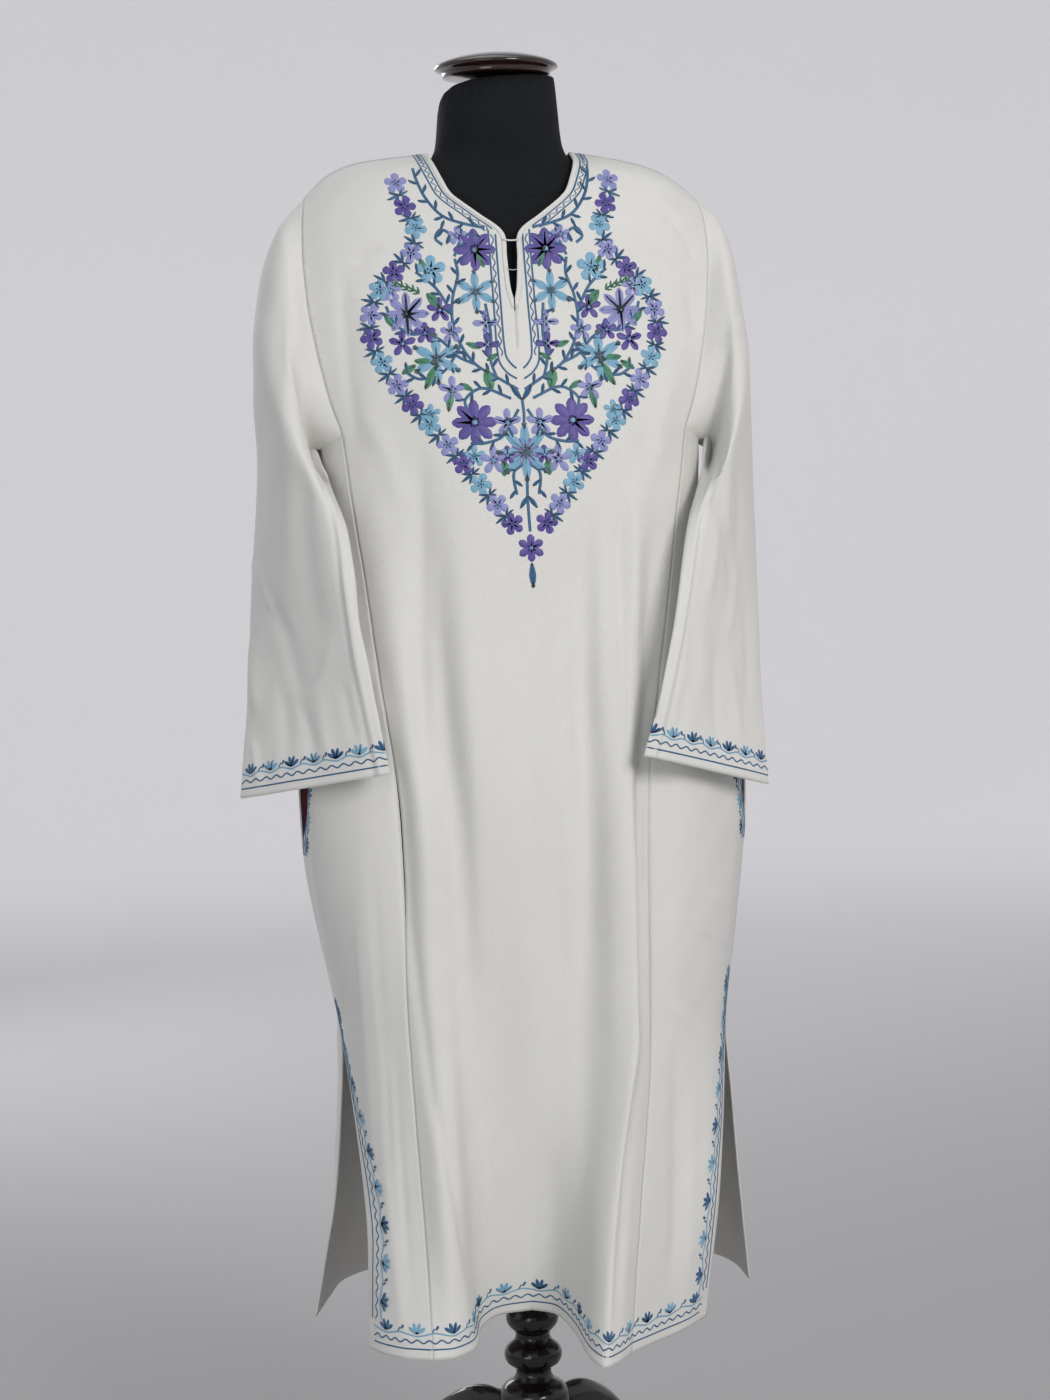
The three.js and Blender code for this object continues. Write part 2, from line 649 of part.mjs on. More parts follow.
// Post: a plain shaft with two turned bulbs above the hub that holds the legs.
const POST = [
  [0, 130],
  [26, 130],
  [32, 140],
  [35, 160],
  [34.5, 196],
  [31, 206],
  [19, 214],
  [17, 220],
  [20, 225],
  [27, 230],
  [28.8, 237],
  [26, 245],
  [18, 251],
  [16.5, 256],
  [19, 262],
  [25, 268],
  [26, 276],
  [22, 283],
  [17, 290],
  [17, 671.6],
  [0, 671.6],
];
addMesh("post", turned(POST, POST_SIDES), blackLacquer);

// Four cabriole legs: each an S in side view that swells at the knee and ends in a pad foot.
const LEG_PATH = [
  // distance from the post's axis, z, half height, half thickness
  [35.6, 168, 26, 11],
  [70, 176, 22, 12],
  [110, 158, 18, 12],
  [155, 112, 15, 11],
  [205, 62, 13, 11],
  [248, 32, 13, 12],
  [266, 13, 17, 14],
];
const FOOT = { reach: 286, z: 12, high: 15, thick: 11 };
const LEG_SIDES = 12;

function legGeometry(turn) {
  const rings = LEG_PATH.map(([out, z, high, thick], k) => {
    const next = LEG_PATH[Math.min(k + 1, LEG_PATH.length - 1)];
    const prev = LEG_PATH[Math.max(k - 1, 0)];
    const level = k === 0 || k === LEG_PATH.length - 1;
    const slope = level ? 0 : Math.atan2(next[1] - prev[1], next[0] - prev[0]);
    const ring = [];
    for (let i = 0; i < LEG_SIDES; i += 1) {
      const angle = 2 * Math.PI * i / LEG_SIDES;
      const up = high * Math.cos(angle);
      const side = -thick * Math.sin(angle);
      const reach = out - up * Math.sin(slope);
      ring.push(vec(reach, side, Math.max(z + up * Math.cos(slope), 0)));
    }
    return ring;
  });
  // The pad foot: a flat-bottomed end that closes the leg.
  const foot = [];
  for (let i = 0; i < LEG_SIDES; i += 1) {
    const angle = 2 * Math.PI * i / LEG_SIDES;
    const z = Math.max(FOOT.z + FOOT.high * Math.cos(angle), 0);
    foot.push(vec(FOOT.reach, -FOOT.thick * Math.sin(angle), z));
  }
  rings.push(foot);
  const geometry = ringSolid(rings);
  geometry.rotateZ(turn);
  return geometry;
}
const LEG_TURNS = [
  ["leg_front_right", -45],
  ["leg_back_right", 45],
  ["leg_back_left", 135],
  ["leg_front_left", 225],
];
for (const [name, degrees] of LEG_TURNS) {
  addMesh(name, legGeometry(THREE.MathUtils.degToRad(degrees)), blackLacquer);
}

part.position.x = AXIS_X;

export default part;
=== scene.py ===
import math

import bmesh
import bpy
import numpy as np
from mathutils import Matrix, Vector
from mathutils.bvhtree import BVHTree


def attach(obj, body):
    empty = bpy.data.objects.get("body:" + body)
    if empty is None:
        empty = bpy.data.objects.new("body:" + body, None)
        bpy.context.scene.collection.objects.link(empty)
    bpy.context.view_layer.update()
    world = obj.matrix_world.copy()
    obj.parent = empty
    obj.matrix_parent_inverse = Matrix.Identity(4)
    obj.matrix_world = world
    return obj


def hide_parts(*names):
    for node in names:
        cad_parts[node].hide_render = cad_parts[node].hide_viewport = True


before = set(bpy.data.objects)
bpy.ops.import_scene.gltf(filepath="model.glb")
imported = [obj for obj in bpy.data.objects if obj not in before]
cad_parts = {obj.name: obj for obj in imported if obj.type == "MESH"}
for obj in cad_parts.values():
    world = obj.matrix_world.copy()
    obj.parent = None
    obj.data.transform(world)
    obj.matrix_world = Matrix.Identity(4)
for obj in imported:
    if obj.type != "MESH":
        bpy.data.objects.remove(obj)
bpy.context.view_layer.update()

scene = bpy.context.scene
scene.view_settings.view_transform = "Standard"


# ---------------------------------------------------------------- camera
# It stands 2.75 m in front of the form and a little to its left, level with the chest,
# and it is turned by a degree and a half about its own line of sight.
AXIS_X = 0.013                     # the post stands this far from the middle of the outline
CAMERA_PLACE = Vector((AXIS_X - 0.3022, -2.7434, 1.0626))
CAMERA_TURN = math.radians(-6.5)
CAMERA_DIP = math.radians(3.8775)
CAMERA_LEAN = math.radians(1.65)
LENS = 74.0                        # millimetres, on a 36 mm sensor's long side

behind = Vector((math.sin(CAMERA_TURN), -math.cos(CAMERA_TURN), 0))
sideways = Vector((math.cos(CAMERA_TURN), math.sin(CAMERA_TURN), 0))
ahead = -behind * math.cos(CAMERA_DIP) - Vector((0, 0, 1)) * math.sin(CAMERA_DIP)
upward = sideways.cross(ahead)
right = sideways * math.cos(CAMERA_LEAN) - upward * math.sin(CAMERA_LEAN)
top = upward * math.cos(CAMERA_LEAN) + sideways * math.sin(CAMERA_LEAN)
camera = bpy.data.objects.new("camera", bpy.data.cameras.new("camera"))
camera.data.lens = LENS
camera.data.clip_end = 100
facing = Matrix((right, top, -ahead)).transposed().to_4x4()
camera.matrix_world = Matrix.Translation(CAMERA_PLACE) @ facing
scene.collection.objects.link(camera)
scene.camera = camera


# ---------------------------------------------------------------- room and light
# A round studio: a painted floor that sweeps up into a pale wall, lit by wide soft lamps,
# the strongest in front on the right, and an even sky above the open top. The floor is
# coloured darker as painted shade, and the wall glows a little as painted light.
class Number:
    """A number that the nodes of a finish work out, written in sums as a plain one is."""

    def __init__(self, finish, socket):
        self.finish = finish
        self.socket = socket

    def maths(self, operation, *others):
        return self.finish.node("ShaderNodeMath", {"operation": operation}, [self, *others])

    def __add__(self, other):
        return self.maths("ADD", other)

    def __sub__(self, other):
        return self.maths("SUBTRACT", other)

    def __rsub__(self, other):
        return self.finish.node("ShaderNodeMath", {"operation": "SUBTRACT"}, [other, self])

    def __mul__(self, other):
        return self.maths("MULTIPLY", other)

    __radd__ = __add__
    __rmul__ = __mul__


class Finish:
    """A surface finish: one shader, with the nodes that vary it over the surface."""

    def __init__(self, name, **fixed):
        self.material = bpy.data.materials.new(name)
        self.material.use_nodes = True
        self.tree = self.material.node_tree
        self.shader = self.tree.nodes["Principled BSDF"]
        for socket, value in fixed.items():
            self.shader.inputs[socket.replace("_", " ")].default_value = value

    def node(self, kind, settings, inputs, output=0):
        node = self.tree.nodes.new(kind)
        for name, value in settings.items():
            setattr(node, name, value)
        places = enumerate(inputs) if isinstance(inputs, list) else inputs.items()
        for place, value in places:
            if isinstance(value, Number):
                self.tree.links.new(value.socket, node.inputs[place])
            else:
                node.inputs[place].default_value = value
        return Number(self, node.outputs[output])

    def coordinates(self, kind="Object"):
        return self.node("ShaderNodeTexCoord", {}, {}, kind)

    def stretched(self, kind, scale):
        return self.node("ShaderNodeMapping", {}, {"Vector": self.coordinates(kind), "Scale": scale})

    def cloudy(self, place, scale, detail=2.0):
        return self.node("ShaderNodeTexNoise", {}, {"Vector": place, "Scale": scale, "Detail": detail})

    def between(self, share, first, second):
        return self.node("ShaderNodeMix", {"data_type": "RGBA"}, {0: share, 6: first, 7: second}, 2)

    def ranged(self, number, low, high, to_low, to_high):
        return self.node("ShaderNodeMapRange", {}, [number, low, high, to_low, to_high])

    def feed(self, socket, number):
        self.tree.links.new(number.socket, self.shader.inputs[socket])

    def relief(self, height, depth, strength=1.0):
        inputs = {"Height": height, "Distance": depth, "Strength": strength}
        self.feed("Normal", self.node("ShaderNodeBump", {}, inputs))


def shown(name, mesh, finish):
    """A finished bmesh as an object of the scene."""
    data = bpy.data.meshes.new(name)
    mesh.to_mesh(data)
    mesh.free()
    data.polygons.foreach_set("use_smooth", [True] * len(data.polygons))
    data.materials.append(finish.material)
    piece = bpy.data.objects.new(name, data)
    scene.collection.objects.link(piece)
    return piece


def spun(profile, turns):
    """A bmesh spun about the upright axis from a half outline of (radius, height)."""
    mesh = bmesh.new()
    points = [mesh.verts.new((radius, 0, height)) for radius, height in profile]
    for lower, upper in zip(points, points[1:]):
        mesh.edges.new((lower, upper))
    bmesh.ops.spin(mesh, geom=mesh.verts[:] + mesh.edges[:], cent=(0, 0, 0), axis=(0, 0, 1),
                   angle=2 * math.pi, steps=turns, use_merge=True)
    bmesh.ops.remove_doubles(mesh, verts=mesh.verts, dist=1e-6)
    bmesh.ops.recalc_face_normals(mesh, faces=mesh.faces)
    return mesh


ROOM_RADIUS = 6.0
COVE = 1.6
WALL_HEIGHT = 5.0
COVE_TURNS = [math.radians(angle) for angle in range(0, 91, 9)]
sweep = [(ROOM_RADIUS - COVE + COVE * math.sin(turn), COVE - COVE * math.cos(turn)) for turn in COVE_TURNS]
paint = Finish("pale_paint_with_painted_light", Roughness=0.95, Specular_IOR_Level=0.1)
room_height = paint.node("ShaderNodeSeparateXYZ", {}, [paint.coordinates()], "Z")
room_depth = Number(paint, room_height.socket.node.outputs["Y"])
FAR_LIGHTER = 0.11                 # the floor pales towards the back as if it rose by this share
PALE_FROM = 0.72                   # and above this height all of the wall is pale
# This share runs from the dark floor up to the pale wall: the darker floor, lighter towards the back, is
# painted shade.
painted_light_up_wall = paint.node("ShaderNodeMapRange", {"interpolation_type": "SMOOTHSTEP"},
                     [room_height + room_depth * FAR_LIGHTER, 0.0, PALE_FROM, 0.0, 1.0])
paint.feed("Base Color", paint.between(painted_light_up_wall, (0.41, 0.405, 0.41, 1), (0.75, 0.74, 0.75, 1)))
# The emission is painted light: the wall glows above PALE_FROM, and the floor a little, though neither is
# a lamp.
paint.feed("Emission Color", paint.between(painted_light_up_wall, (0.02, 0.02, 0.02, 1), (0.22, 0.216, 0.222, 1)))
paint.shader.inputs["Emission Strength"].default_value = 1.0
room = shown("room", spun([(0, 0), *sweep, (ROOM_RADIUS, WALL_HEIGHT)], 72), paint)

sky = bpy.data.worlds.new("sky")
sky.use_nodes = True
sky.node_tree.nodes["Background"].inputs["Color"].default_value = (0.93, 0.95, 1.0, 1)
sky.node_tree.nodes["Background"].inputs["Strength"].default_value = 0.36
scene.world = sky

LAMPS = [
    # name, place, width, power, colour
    ("key", (1.3, -3.0, 2.1), 1.0, 55, (1.0, 0.985, 0.965)),
    ("fill", (-1.6, -3.1, 1.0), 1.5, 15, (0.93, 0.97, 1.0)),
    ("overhead", (-0.2, 0.3, 3.2), 1.6, 8, (1.0, 1.0, 1.0)),
    ("from_behind", (-1.4, 3.0, 1.9), 1.6, 26, (1.0, 1.0, 1.0)),
]
for name, place, width, power, colour in LAMPS:
    lamp = bpy.data.objects.new(name, bpy.data.lights.new(name, "AREA"))
    lamp.data.size = width
    lamp.data.energy = power
    lamp.data.color = colour
    lamp.location = place
    lamp.rotation_mode = "QUATERNION"
    lamp.rotation_quaternion = (Vector((AXIS_X, 0, 0.9)) - Vector(place)).to_track_quat("-Z", "Y")
    scene.collection.objects.link(lamp)


# ---------------------------------------------------------------- stand
# A wooden post turned on a lathe, with two bulbs above the hub, and four cabriole legs
# let into the hub. All of it is lacquered black and polished.
POST_PROFILE = [
    # radius, height
    (0, 0.130), (0.026, 0.130), (0.032, 0.140), (0.0348, 0.156), (0.035, 0.176), (0.0345, 0.196),
    (0.0325, 0.204), (0.027, 0.209), (0.0205, 0.2115), (0.0195, 0.214), (0.0175, 0.217), (0.017, 0.220),
    (0.018, 0.223), (0.0205, 0.2255), (0.0245, 0.2275), (0.0275, 0.231), (0.0288, 0.237),
    (0.0275, 0.2425), (0.0245, 0.2465), (0.020, 0.2495), (0.0175, 0.252), (0.0166, 0.256),
    (0.0175, 0.2595), (0.021, 0.2625), (0.0245, 0.2665), (0.0262, 0.272), (0.0255, 0.278),
    (0.0225, 0.2825), (0.0185, 0.287), (0.017, 0.291), (0.017, 0.45), (0.017, 0.6716), (0, 0.6716),
]
lacquer = Finish("black_lacquer", Roughness=0.12, Specular_IOR_Level=0.55, Coat_Roughness=0.05)
streaks = lacquer.cloudy(lacquer.stretched("Object", (60, 60, 9)), 1.0, 4.0)
lacquer.feed("Base Color", lacquer.between(streaks, (0.004, 0.003, 0.003, 1), (0.012, 0.008, 0.007, 1)))
lacquer.feed("Roughness", lacquer.cloudy(lacquer.coordinates(), 35.0) * 0.12 + 0.06)
lacquer.relief(lacquer.cloudy(lacquer.coordinates(), 90.0, 3.0), 0.0004, 0.25)


def placed_on_axis(mesh):
    bmesh.ops.translate(mesh, verts=mesh.verts, vec=(AXIS_X, 0, 0))
    return mesh


def rounded(piece, levels):
    smoothing = piece.modifiers.new("rounding", "SUBSURF")
    smoothing.levels = levels
    smoothing.render_levels = levels
    return piece


post = rounded(shown("turned_post", placed_on_axis(spun(POST_PROFILE, 32)), lacquer), 1)
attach(post, "root")
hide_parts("post")


def merged_copy(node):
    """The shape of a solid as one joined mesh."""
    mesh = bmesh.new()
    mesh.from_mesh(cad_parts[node].data)
    bmesh.ops.remove_doubles(mesh, verts=mesh.verts, dist=2e-5)
    return mesh


for corner in ("front_right", "back_right", "back_left", "front_left"):
    leg = rounded(shown(f"cabriole_leg_{corner}", merged_copy(f"leg_{corner}"), lacquer), 2)
    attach(leg, "root")
    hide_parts(f"leg_{corner}")


# ---------------------------------------------------------------- form
# The torso and neck: a moulded shell padded and covered in black cotton jersey, pulled
# tight, with a seam across the top of the chest.
jersey = Finish("black_jersey", Roughness=0.9, Specular_IOR_Level=0.25)
knit = jersey.node("ShaderNodeTexWave", {"bands_direction": "X"},
                   {"Vector": jersey.coordinates(), "Scale": 210.0, "Distortion": 1.5, "Detail": 2.0})
lint = jersey.cloudy(jersey.coordinates(), 38.0, 4.0)
jersey.feed("Base Color", jersey.between(lint, (0.0045, 0.0055, 0.007, 1), (0.009, 0.0105, 0.0125, 1)))
CHEST_SEAM_Z = 1.347               # the seam's height in the middle
CHEST_SEAM_RISE = 1.6              # how fast it climbs to the sides
CHEST_SEAM_WIDE = 0.0016
across_body = jersey.node("ShaderNodeSeparateXYZ", {}, [jersey.coordinates()])
up_body = Number(jersey, across_body.socket.node.outputs["Z"])
across_chest = across_body - AXIS_X
off_seam = up_body - CHEST_SEAM_Z - across_chest * across_chest * CHEST_SEAM_RISE
seam = jersey.ranged(off_seam.maths("ABSOLUTE"), 0.0, CHEST_SEAM_WIDE, 0.0, 1.0)
jersey.relief(knit * 0.25 + lint * 0.3 + seam * 2.0, 0.0006, 0.8)

torso = rounded(shown("form_torso_and_neck", merged_copy("form_body"), jersey), 2)
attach(torso, "root")
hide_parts("form_body")

# ---------------------------------------------------------------- neck cap
# A turned wooden disc with a rounded rim over a cove, stained dark brown and lacquered,
# screwed down on the open top of the neck.
CAP_PROFILE = [
    # radius, height
    (0, 1.4664), (0.052, 1.4664), (0.0515, 1.4685), (0.0515, 1.4705), (0.0530, 1.4722),
    (0.0560, 1.4733), (0.0583, 1.4745), (0.0590, 1.4760), (0.0583, 1.4775), (0.0560, 1.4793),
    (0.0500, 1.4820), (0.0420, 1.4843), (0.0340, 1.4863), (0.0250, 1.4878), (0.0160, 1.4886),
    (0.0070, 1.4889), (0, 1.4890),
]
cap_lacquer = Finish("brown_black_lacquer", Roughness=0.16, Coat_Weight=0.6, Coat_Roughness=0.08)
grain = cap_lacquer.cloudy(cap_lacquer.stretched("Object", (14, 90, 40)), 1.0, 5.0)
stain = cap_lacquer.between(grain, (0.008, 0.003, 0.003, 1), (0.035, 0.012, 0.009, 1))
cap_lacquer.feed("Base Color", stain)
cap_lacquer.relief(grain, 0.0003, 0.2)
cap = rounded(shown("turned_neck_cap", placed_on_axis(spun(CAP_PROFILE, 48)), cap_lacquer), 1)
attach(cap, "root")
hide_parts("neck_cap")


# ---------------------------------------------------------------- front of the tunic
# Off-white twill in three panels: a centre as wide as the shoulders, narrowing to a straight
# strip, and a flared panel at each side. They are seamed from the armholes down, and the
# side edges are open below the hips. Measured in millimetres from the post's axis.
MM = 0.001
CLOTH = 1.5                        # thickness of the cloth
SLIT_TOP_Z = 560
UNDERARM_Z = 1116
UNDERARM_RISE = 2                  # the armhole's lowest point is this far above the underarm
HIP_Z = 800
WAIST_Z = 960
SHIN_Z = 420
HEM_Z = 283
SHOULDER_ROLL = 75                 # below the shoulder line the cloth rolls over this height
SECTION_POWER = 2.4                # how square the level sections of the body are
SHOULDER_SEAM_Y = 3
ARCH_POWER = 4                     # how late the rows above the chest start to arch
POCKET_Z = 815                     # the middle of each pocket's mouth
POCKET_HALF_HEIGHT = 63
POCKET_GAPE = 4                    # how far each lip stands off the seam line
POCKET_FORWARD = 32                # how far the seam is drawn forward at the mouth
POCKET_DRAW = 120                  # over this height above and below it
POCKET_ROUND = 0.017               # and the share by which it is drawn in
LEFT_SEAM, CENTRE, RIGHT_SEAM = 3, 8, 14
DEPTHS = [
    # z, front, back, half width
    (700, 124, 118, 216), (800, 122, 116, 216), (880, 119, 106, 203), (960, 118, 99, 185),
    (1060, 119, 98, 180), (1116, 120, 101, 184), (1145, 118, 102, 194), (1180, 113, 103, 204),
    (1237, 100, 104, 211), (1314, 87, 103, 213), (1350, 81, 102, 210), (1400, 76, 101, 204),
]
SHOULDER_LINE = [
    # x, z on the right, z on the left
    (0, 1399, 1399), (60, 1397, 1397.5), (100, 1391.5, 1394), (140, 1382, 1388), (165, 1370, 1377),
    (186, 1353, 1357),
]
FRONT_LINES = [
    # x at underarm, waist, hip; fold at waist, hip; slit x, y; shin x, y; hem x, y, z
    (-182, -185, -214, 0, 0, -177, 0, -164, -92, -166, -112, 285),
    (-178, -174, -197, 0, 0, -171, -50, -153, -108, -155, -134, 285),
    (-170, -158, -164, 0, 2, -150, -90, -137, -122, -137, -153, 285),
    (-159, -141, -123, 0, 0, -119, -112, -113, -133, -110, -165, 285),
    (-132, -121, -104, 4, 8, -100, -126, -95, -151, -88, -162, 285),
    (-105, -99, -88, -3, -2, -84, -124, -77, -141, -67, -139, 287),
    (-80, -80, -72, -6, -7, -70, -111, -65, -108, -57, -94, 293),
    (-45, -52, -50, 4, 6, -49, -107, -46, -96, -42, -78, 298),
    (0, 0, 0, 0, 2, -1, -112, -4, -98, -8, -73, 300),
    (42, 32, 28, -2, 3, 26, -114, 18, -106, 14, -84, 298),
    (72, 56, 52, -5, -6, 50, -120, 35, -124, 26, -122, 291),
    (98, 78, 74, 3, 10, 73, -140, 49, -160, 32, -180, 283),
    (122, 98, 92, 6, 16, 89, -149, 62, -173, 43, -201, 279),
    (140, 116, 101, -4, -3, 98, -130, 76, -159, 58, -188, 279),
    (159, 136, 112, 0, -2, 106, -117, 90, -141, 74, -160, 279),
    (170, 155, 152, 0, 3, 140, -93, 128, -110, 108, -124, 279),
    (178, 174, 196, 0, 0, 178, -52, 161, -90, 138, -98, 281),
    (182, 185, 222, 0, 0, 199, 0, 178, -68, 160, -72, 284),
]
FRONT_NECK = [
    # share of the way up, x, z
    (0, 0, 1131), (0.12, 0, 1160), (0.24, 0, 1200), (0.34, 0, 1238), (0.44, 5, 1262), (0.54, 7, 1290),
    (0.64, 9, 1313), (0.76, 31, 1331), (0.86, 54, 1350), (0.92, 62, 1366), (0.965, 68, 1383),
    (1, 70, 1396),
]
FRONT_ARMHOLE = [
    (0, 161, 1131), (0.18, 172, 1165), (0.38, 181, 1206), (0.6, 188, 1252), (0.78, 191, 1293),
    (0.92, 190, 1330), (1, 186, 1353),
]
SLIT_SHARES = [0, 0.2, 0.42, 0.7]
BODY_ROWS = [560, 608, 660, 715, 765, 815, 870, 930, 1000, 1060, UNDERARM_Z]
HALF_ACROSS = 46                   # squares across each half of a centre panel
SIDE_ACROSS = 30                   # and across a side panel
low_levels = np.linspace(HEM_Z, UNDERARM_Z, 240)


def along(rows, at):
    """Every column of a table at some places, on smooth curves against its first column."""
    rows = np.asarray(rows, float)
    start = rows[:, 0]
    last = len(rows) - 1
    step = np.arange(last + 1)
    low = np.maximum(step - 1, 0)
    high = np.minimum(step + 1, last)
    slope = (rows[high] - rows[low]) / (start[high] - start[low])[:, None]
    at = np.clip(at, start[0], start[-1])
    k = np.clip(np.searchsorted(start, at, side="right") - 1, 0, last - 1)
    span = (start[k + 1] - start[k])[..., None]
    t = (at - start[k])[..., None] / span
    return ((2 * t**3 - 3 * t**2 + 1) * rows[k] + (t**3 - 2 * t**2 + t) * span * slope[k]
            + (3 * t**2 - 2 * t**3) * rows[k + 1] + (t**3 - t**2) * span * slope[k + 1])


def lengths(points):
    """How far along a line each of its points is."""
    steps = np.linalg.norm(np.diff(np.asarray(points, float), axis=0), axis=1)
    return np.concatenate([[0.0], np.cumsum(steps)])


def through(points, count):
    """Evenly spaced points on a smooth line through a few."""
    run = lengths(points)
    return along(np.column_stack([run, points]), np.linspace(0, run[-1], count + 1))[:, 1:]


def shoulder_z(x):
    return along(SHOULDER_LINE, abs(x))[2 if x < 0 else 1]


def depth_at(x, z, front):
    _, fore, aft, width = along(DEPTHS, z)
    section = max(1 - min(abs(x) / width, 1) ** SECTION_POWER, 0) ** (1 / SECTION_POWER)
    below = min(max((shoulder_z(x) - z) / SHOULDER_ROLL, 0), 1)
    roll = math.sqrt(1 - (1 - below) ** 2)
    return SHOULDER_SEAM_Y * (1 - below) + (-fore if front else aft) * section * roll


def line_point(line, z, front, edge):
    """Where a line down the body is at a height; the side edges turn where the slit opens."""
    sign = -1 if front else 1
    under, waist, hip, fold_waist, fold_hip, slit_x, slit_y, shin_x, shin_y, hem_x, hem_y, hem_z = line
    heights = [(hem_z, hem_x, hem_y), (SHIN_Z, shin_x, shin_y), (SLIT_TOP_Z, slit_x, slit_y)]
    body = ((HIP_Z, hip, fold_hip), (WAIST_Z, waist, fold_waist), (UNDERARM_Z, under, 0))
    for level, x, fold in body:
        heights.append((level, x, 0 if edge else depth_at(x, level, front) + sign * fold))
    if edge:
        heights = heights[:3] if z < SLIT_TOP_Z else heights[2:]
    _, x, y = along(heights, z)
    if not edge:
        return (x, y, z)
    drawn = max(1 - ((z - POCKET_Z) / POCKET_DRAW) ** 2, 0) ** 2
    lip = max(1 - abs(z - POCKET_Z) / POCKET_HALF_HEIGHT, 0)
    return (x * (1 - POCKET_ROUND * drawn), y - POCKET_FORWARD * drawn + sign * POCKET_GAPE * lip, z)


def lower_rows(lines, front):
    """Rows of points from the hem up to the underarm."""
    ends = (0, len(lines) - 1)
    rows = [[line_point(line, line[-1] + (SLIT_TOP_Z - line[-1]) * share, front, i in ends)
             for i, line in enumerate(lines)] for share in SLIT_SHARES]
    return rows + [[line_point(line, z, front, i in ends) for i, line in enumerate(lines)]
                   for z in BODY_ROWS]


def shoulder_rows(neck, armhole, shares, side, front):
    """Rows from the underarm up to the shoulder seam, arched more and more to follow it."""
    neck_x, neck_z = neck[-1][1:]
    tip_x, tip_z = armhole[-1][1:]
    rows = []
    for share, x0, z0 in neck:
        _, x1, z1 = along(armhole, share)
        row = []
        for f in shares:
            x = x0 + (x1 - x0) * f
            arch = shoulder_z(side * (neck_x + (tip_x - neck_x) * f)) - (neck_z + (tip_z - neck_z) * f)
            z = z0 + (z1 - z0) * f + arch * share**ARCH_POWER
            row.append((side * x, SHOULDER_SEAM_Y if share == 1 else depth_at(x, z, front), z))
        rows.append(row)
    return rows


def upper_half(lower, centre, outer, neck, armhole, front):
    underarm = lower[-1]
    side = 1 if outer > centre else -1
    shares = [underarm[i][0] / underarm[outer][0] for i in range(centre, outer + side, side)]
    rows = shoulder_rows(neck, armhole, shares, side, front)
    return rows if side > 0 else [row[::-1] for row in rows]


def some_columns(rows, first, last):
    return [row[first:last + 1] for row in rows]


def levels_of(neck, armhole):
    """The height that stands for each row, and the even heights that the fine rows take."""
    rows = [HEM_Z + (SLIT_TOP_Z - HEM_Z) * share for share in SLIT_SHARES] + BODY_ROWS
    rows += [along(armhole, share)[2] for share, _, _ in neck]
    return rows, np.concatenate([low_levels, np.linspace(UNDERARM_Z, rows[-1], 70)[1:]])


def even_grid(rows, heights, across, levels):
    """A few rows of a few points each, made into many even rows of many points."""
    wide = np.array([through(row, across) for row in rows])
    table = np.column_stack([heights, wide.reshape(len(rows), -1)])
    return along(table, levels)[:, 1:].reshape(len(levels), -1, 3)


front_lower = lower_rows(FRONT_LINES, True)
front_heights, front_levels = levels_of(FRONT_NECK, FRONT_ARMHOLE)
front_left, front_right = (
    even_grid(some_columns(front_lower, min(CENTRE, seam), max(CENTRE, seam))
              + upper_half(front_lower, CENTRE, seam, FRONT_NECK, FRONT_ARMHOLE, True),
              front_heights, HALF_ACROSS, front_levels)
    for seam in (LEFT_SEAM, RIGHT_SEAM))


def side_grid(first, last, seam, side):
    """A side panel: its top row is the low part of the armhole."""
    rows = some_columns(front_lower, first, last)
    underarm = rows[-1]
    inner = underarm[seam][0]
    outer = underarm[-1 - seam][0]
    hole = []
    for x, _, _ in underarm:
        f = (x - inner) / (outer - inner)
        seam_x, seam_z = FRONT_ARMHOLE[0][1:]
        x, z = seam_x + (abs(outer) - seam_x) * f, seam_z + (UNDERARM_Z + UNDERARM_RISE - seam_z) * f
        hole.append((side * x, 0 if f > 0.99 else depth_at(x, z, True), z))
    heights = front_heights[:len(rows)] + [FRONT_ARMHOLE[0][2]]
    levels = np.concatenate([low_levels, np.linspace(UNDERARM_Z, heights[-1], 5)[1:]])
    return even_grid(rows + [hole], heights, SIDE_ACROSS, levels)


side_left = side_grid(0, LEFT_SEAM, -1, -1)
side_right = side_grid(RIGHT_SEAM, len(FRONT_LINES) - 1, 0, 1)

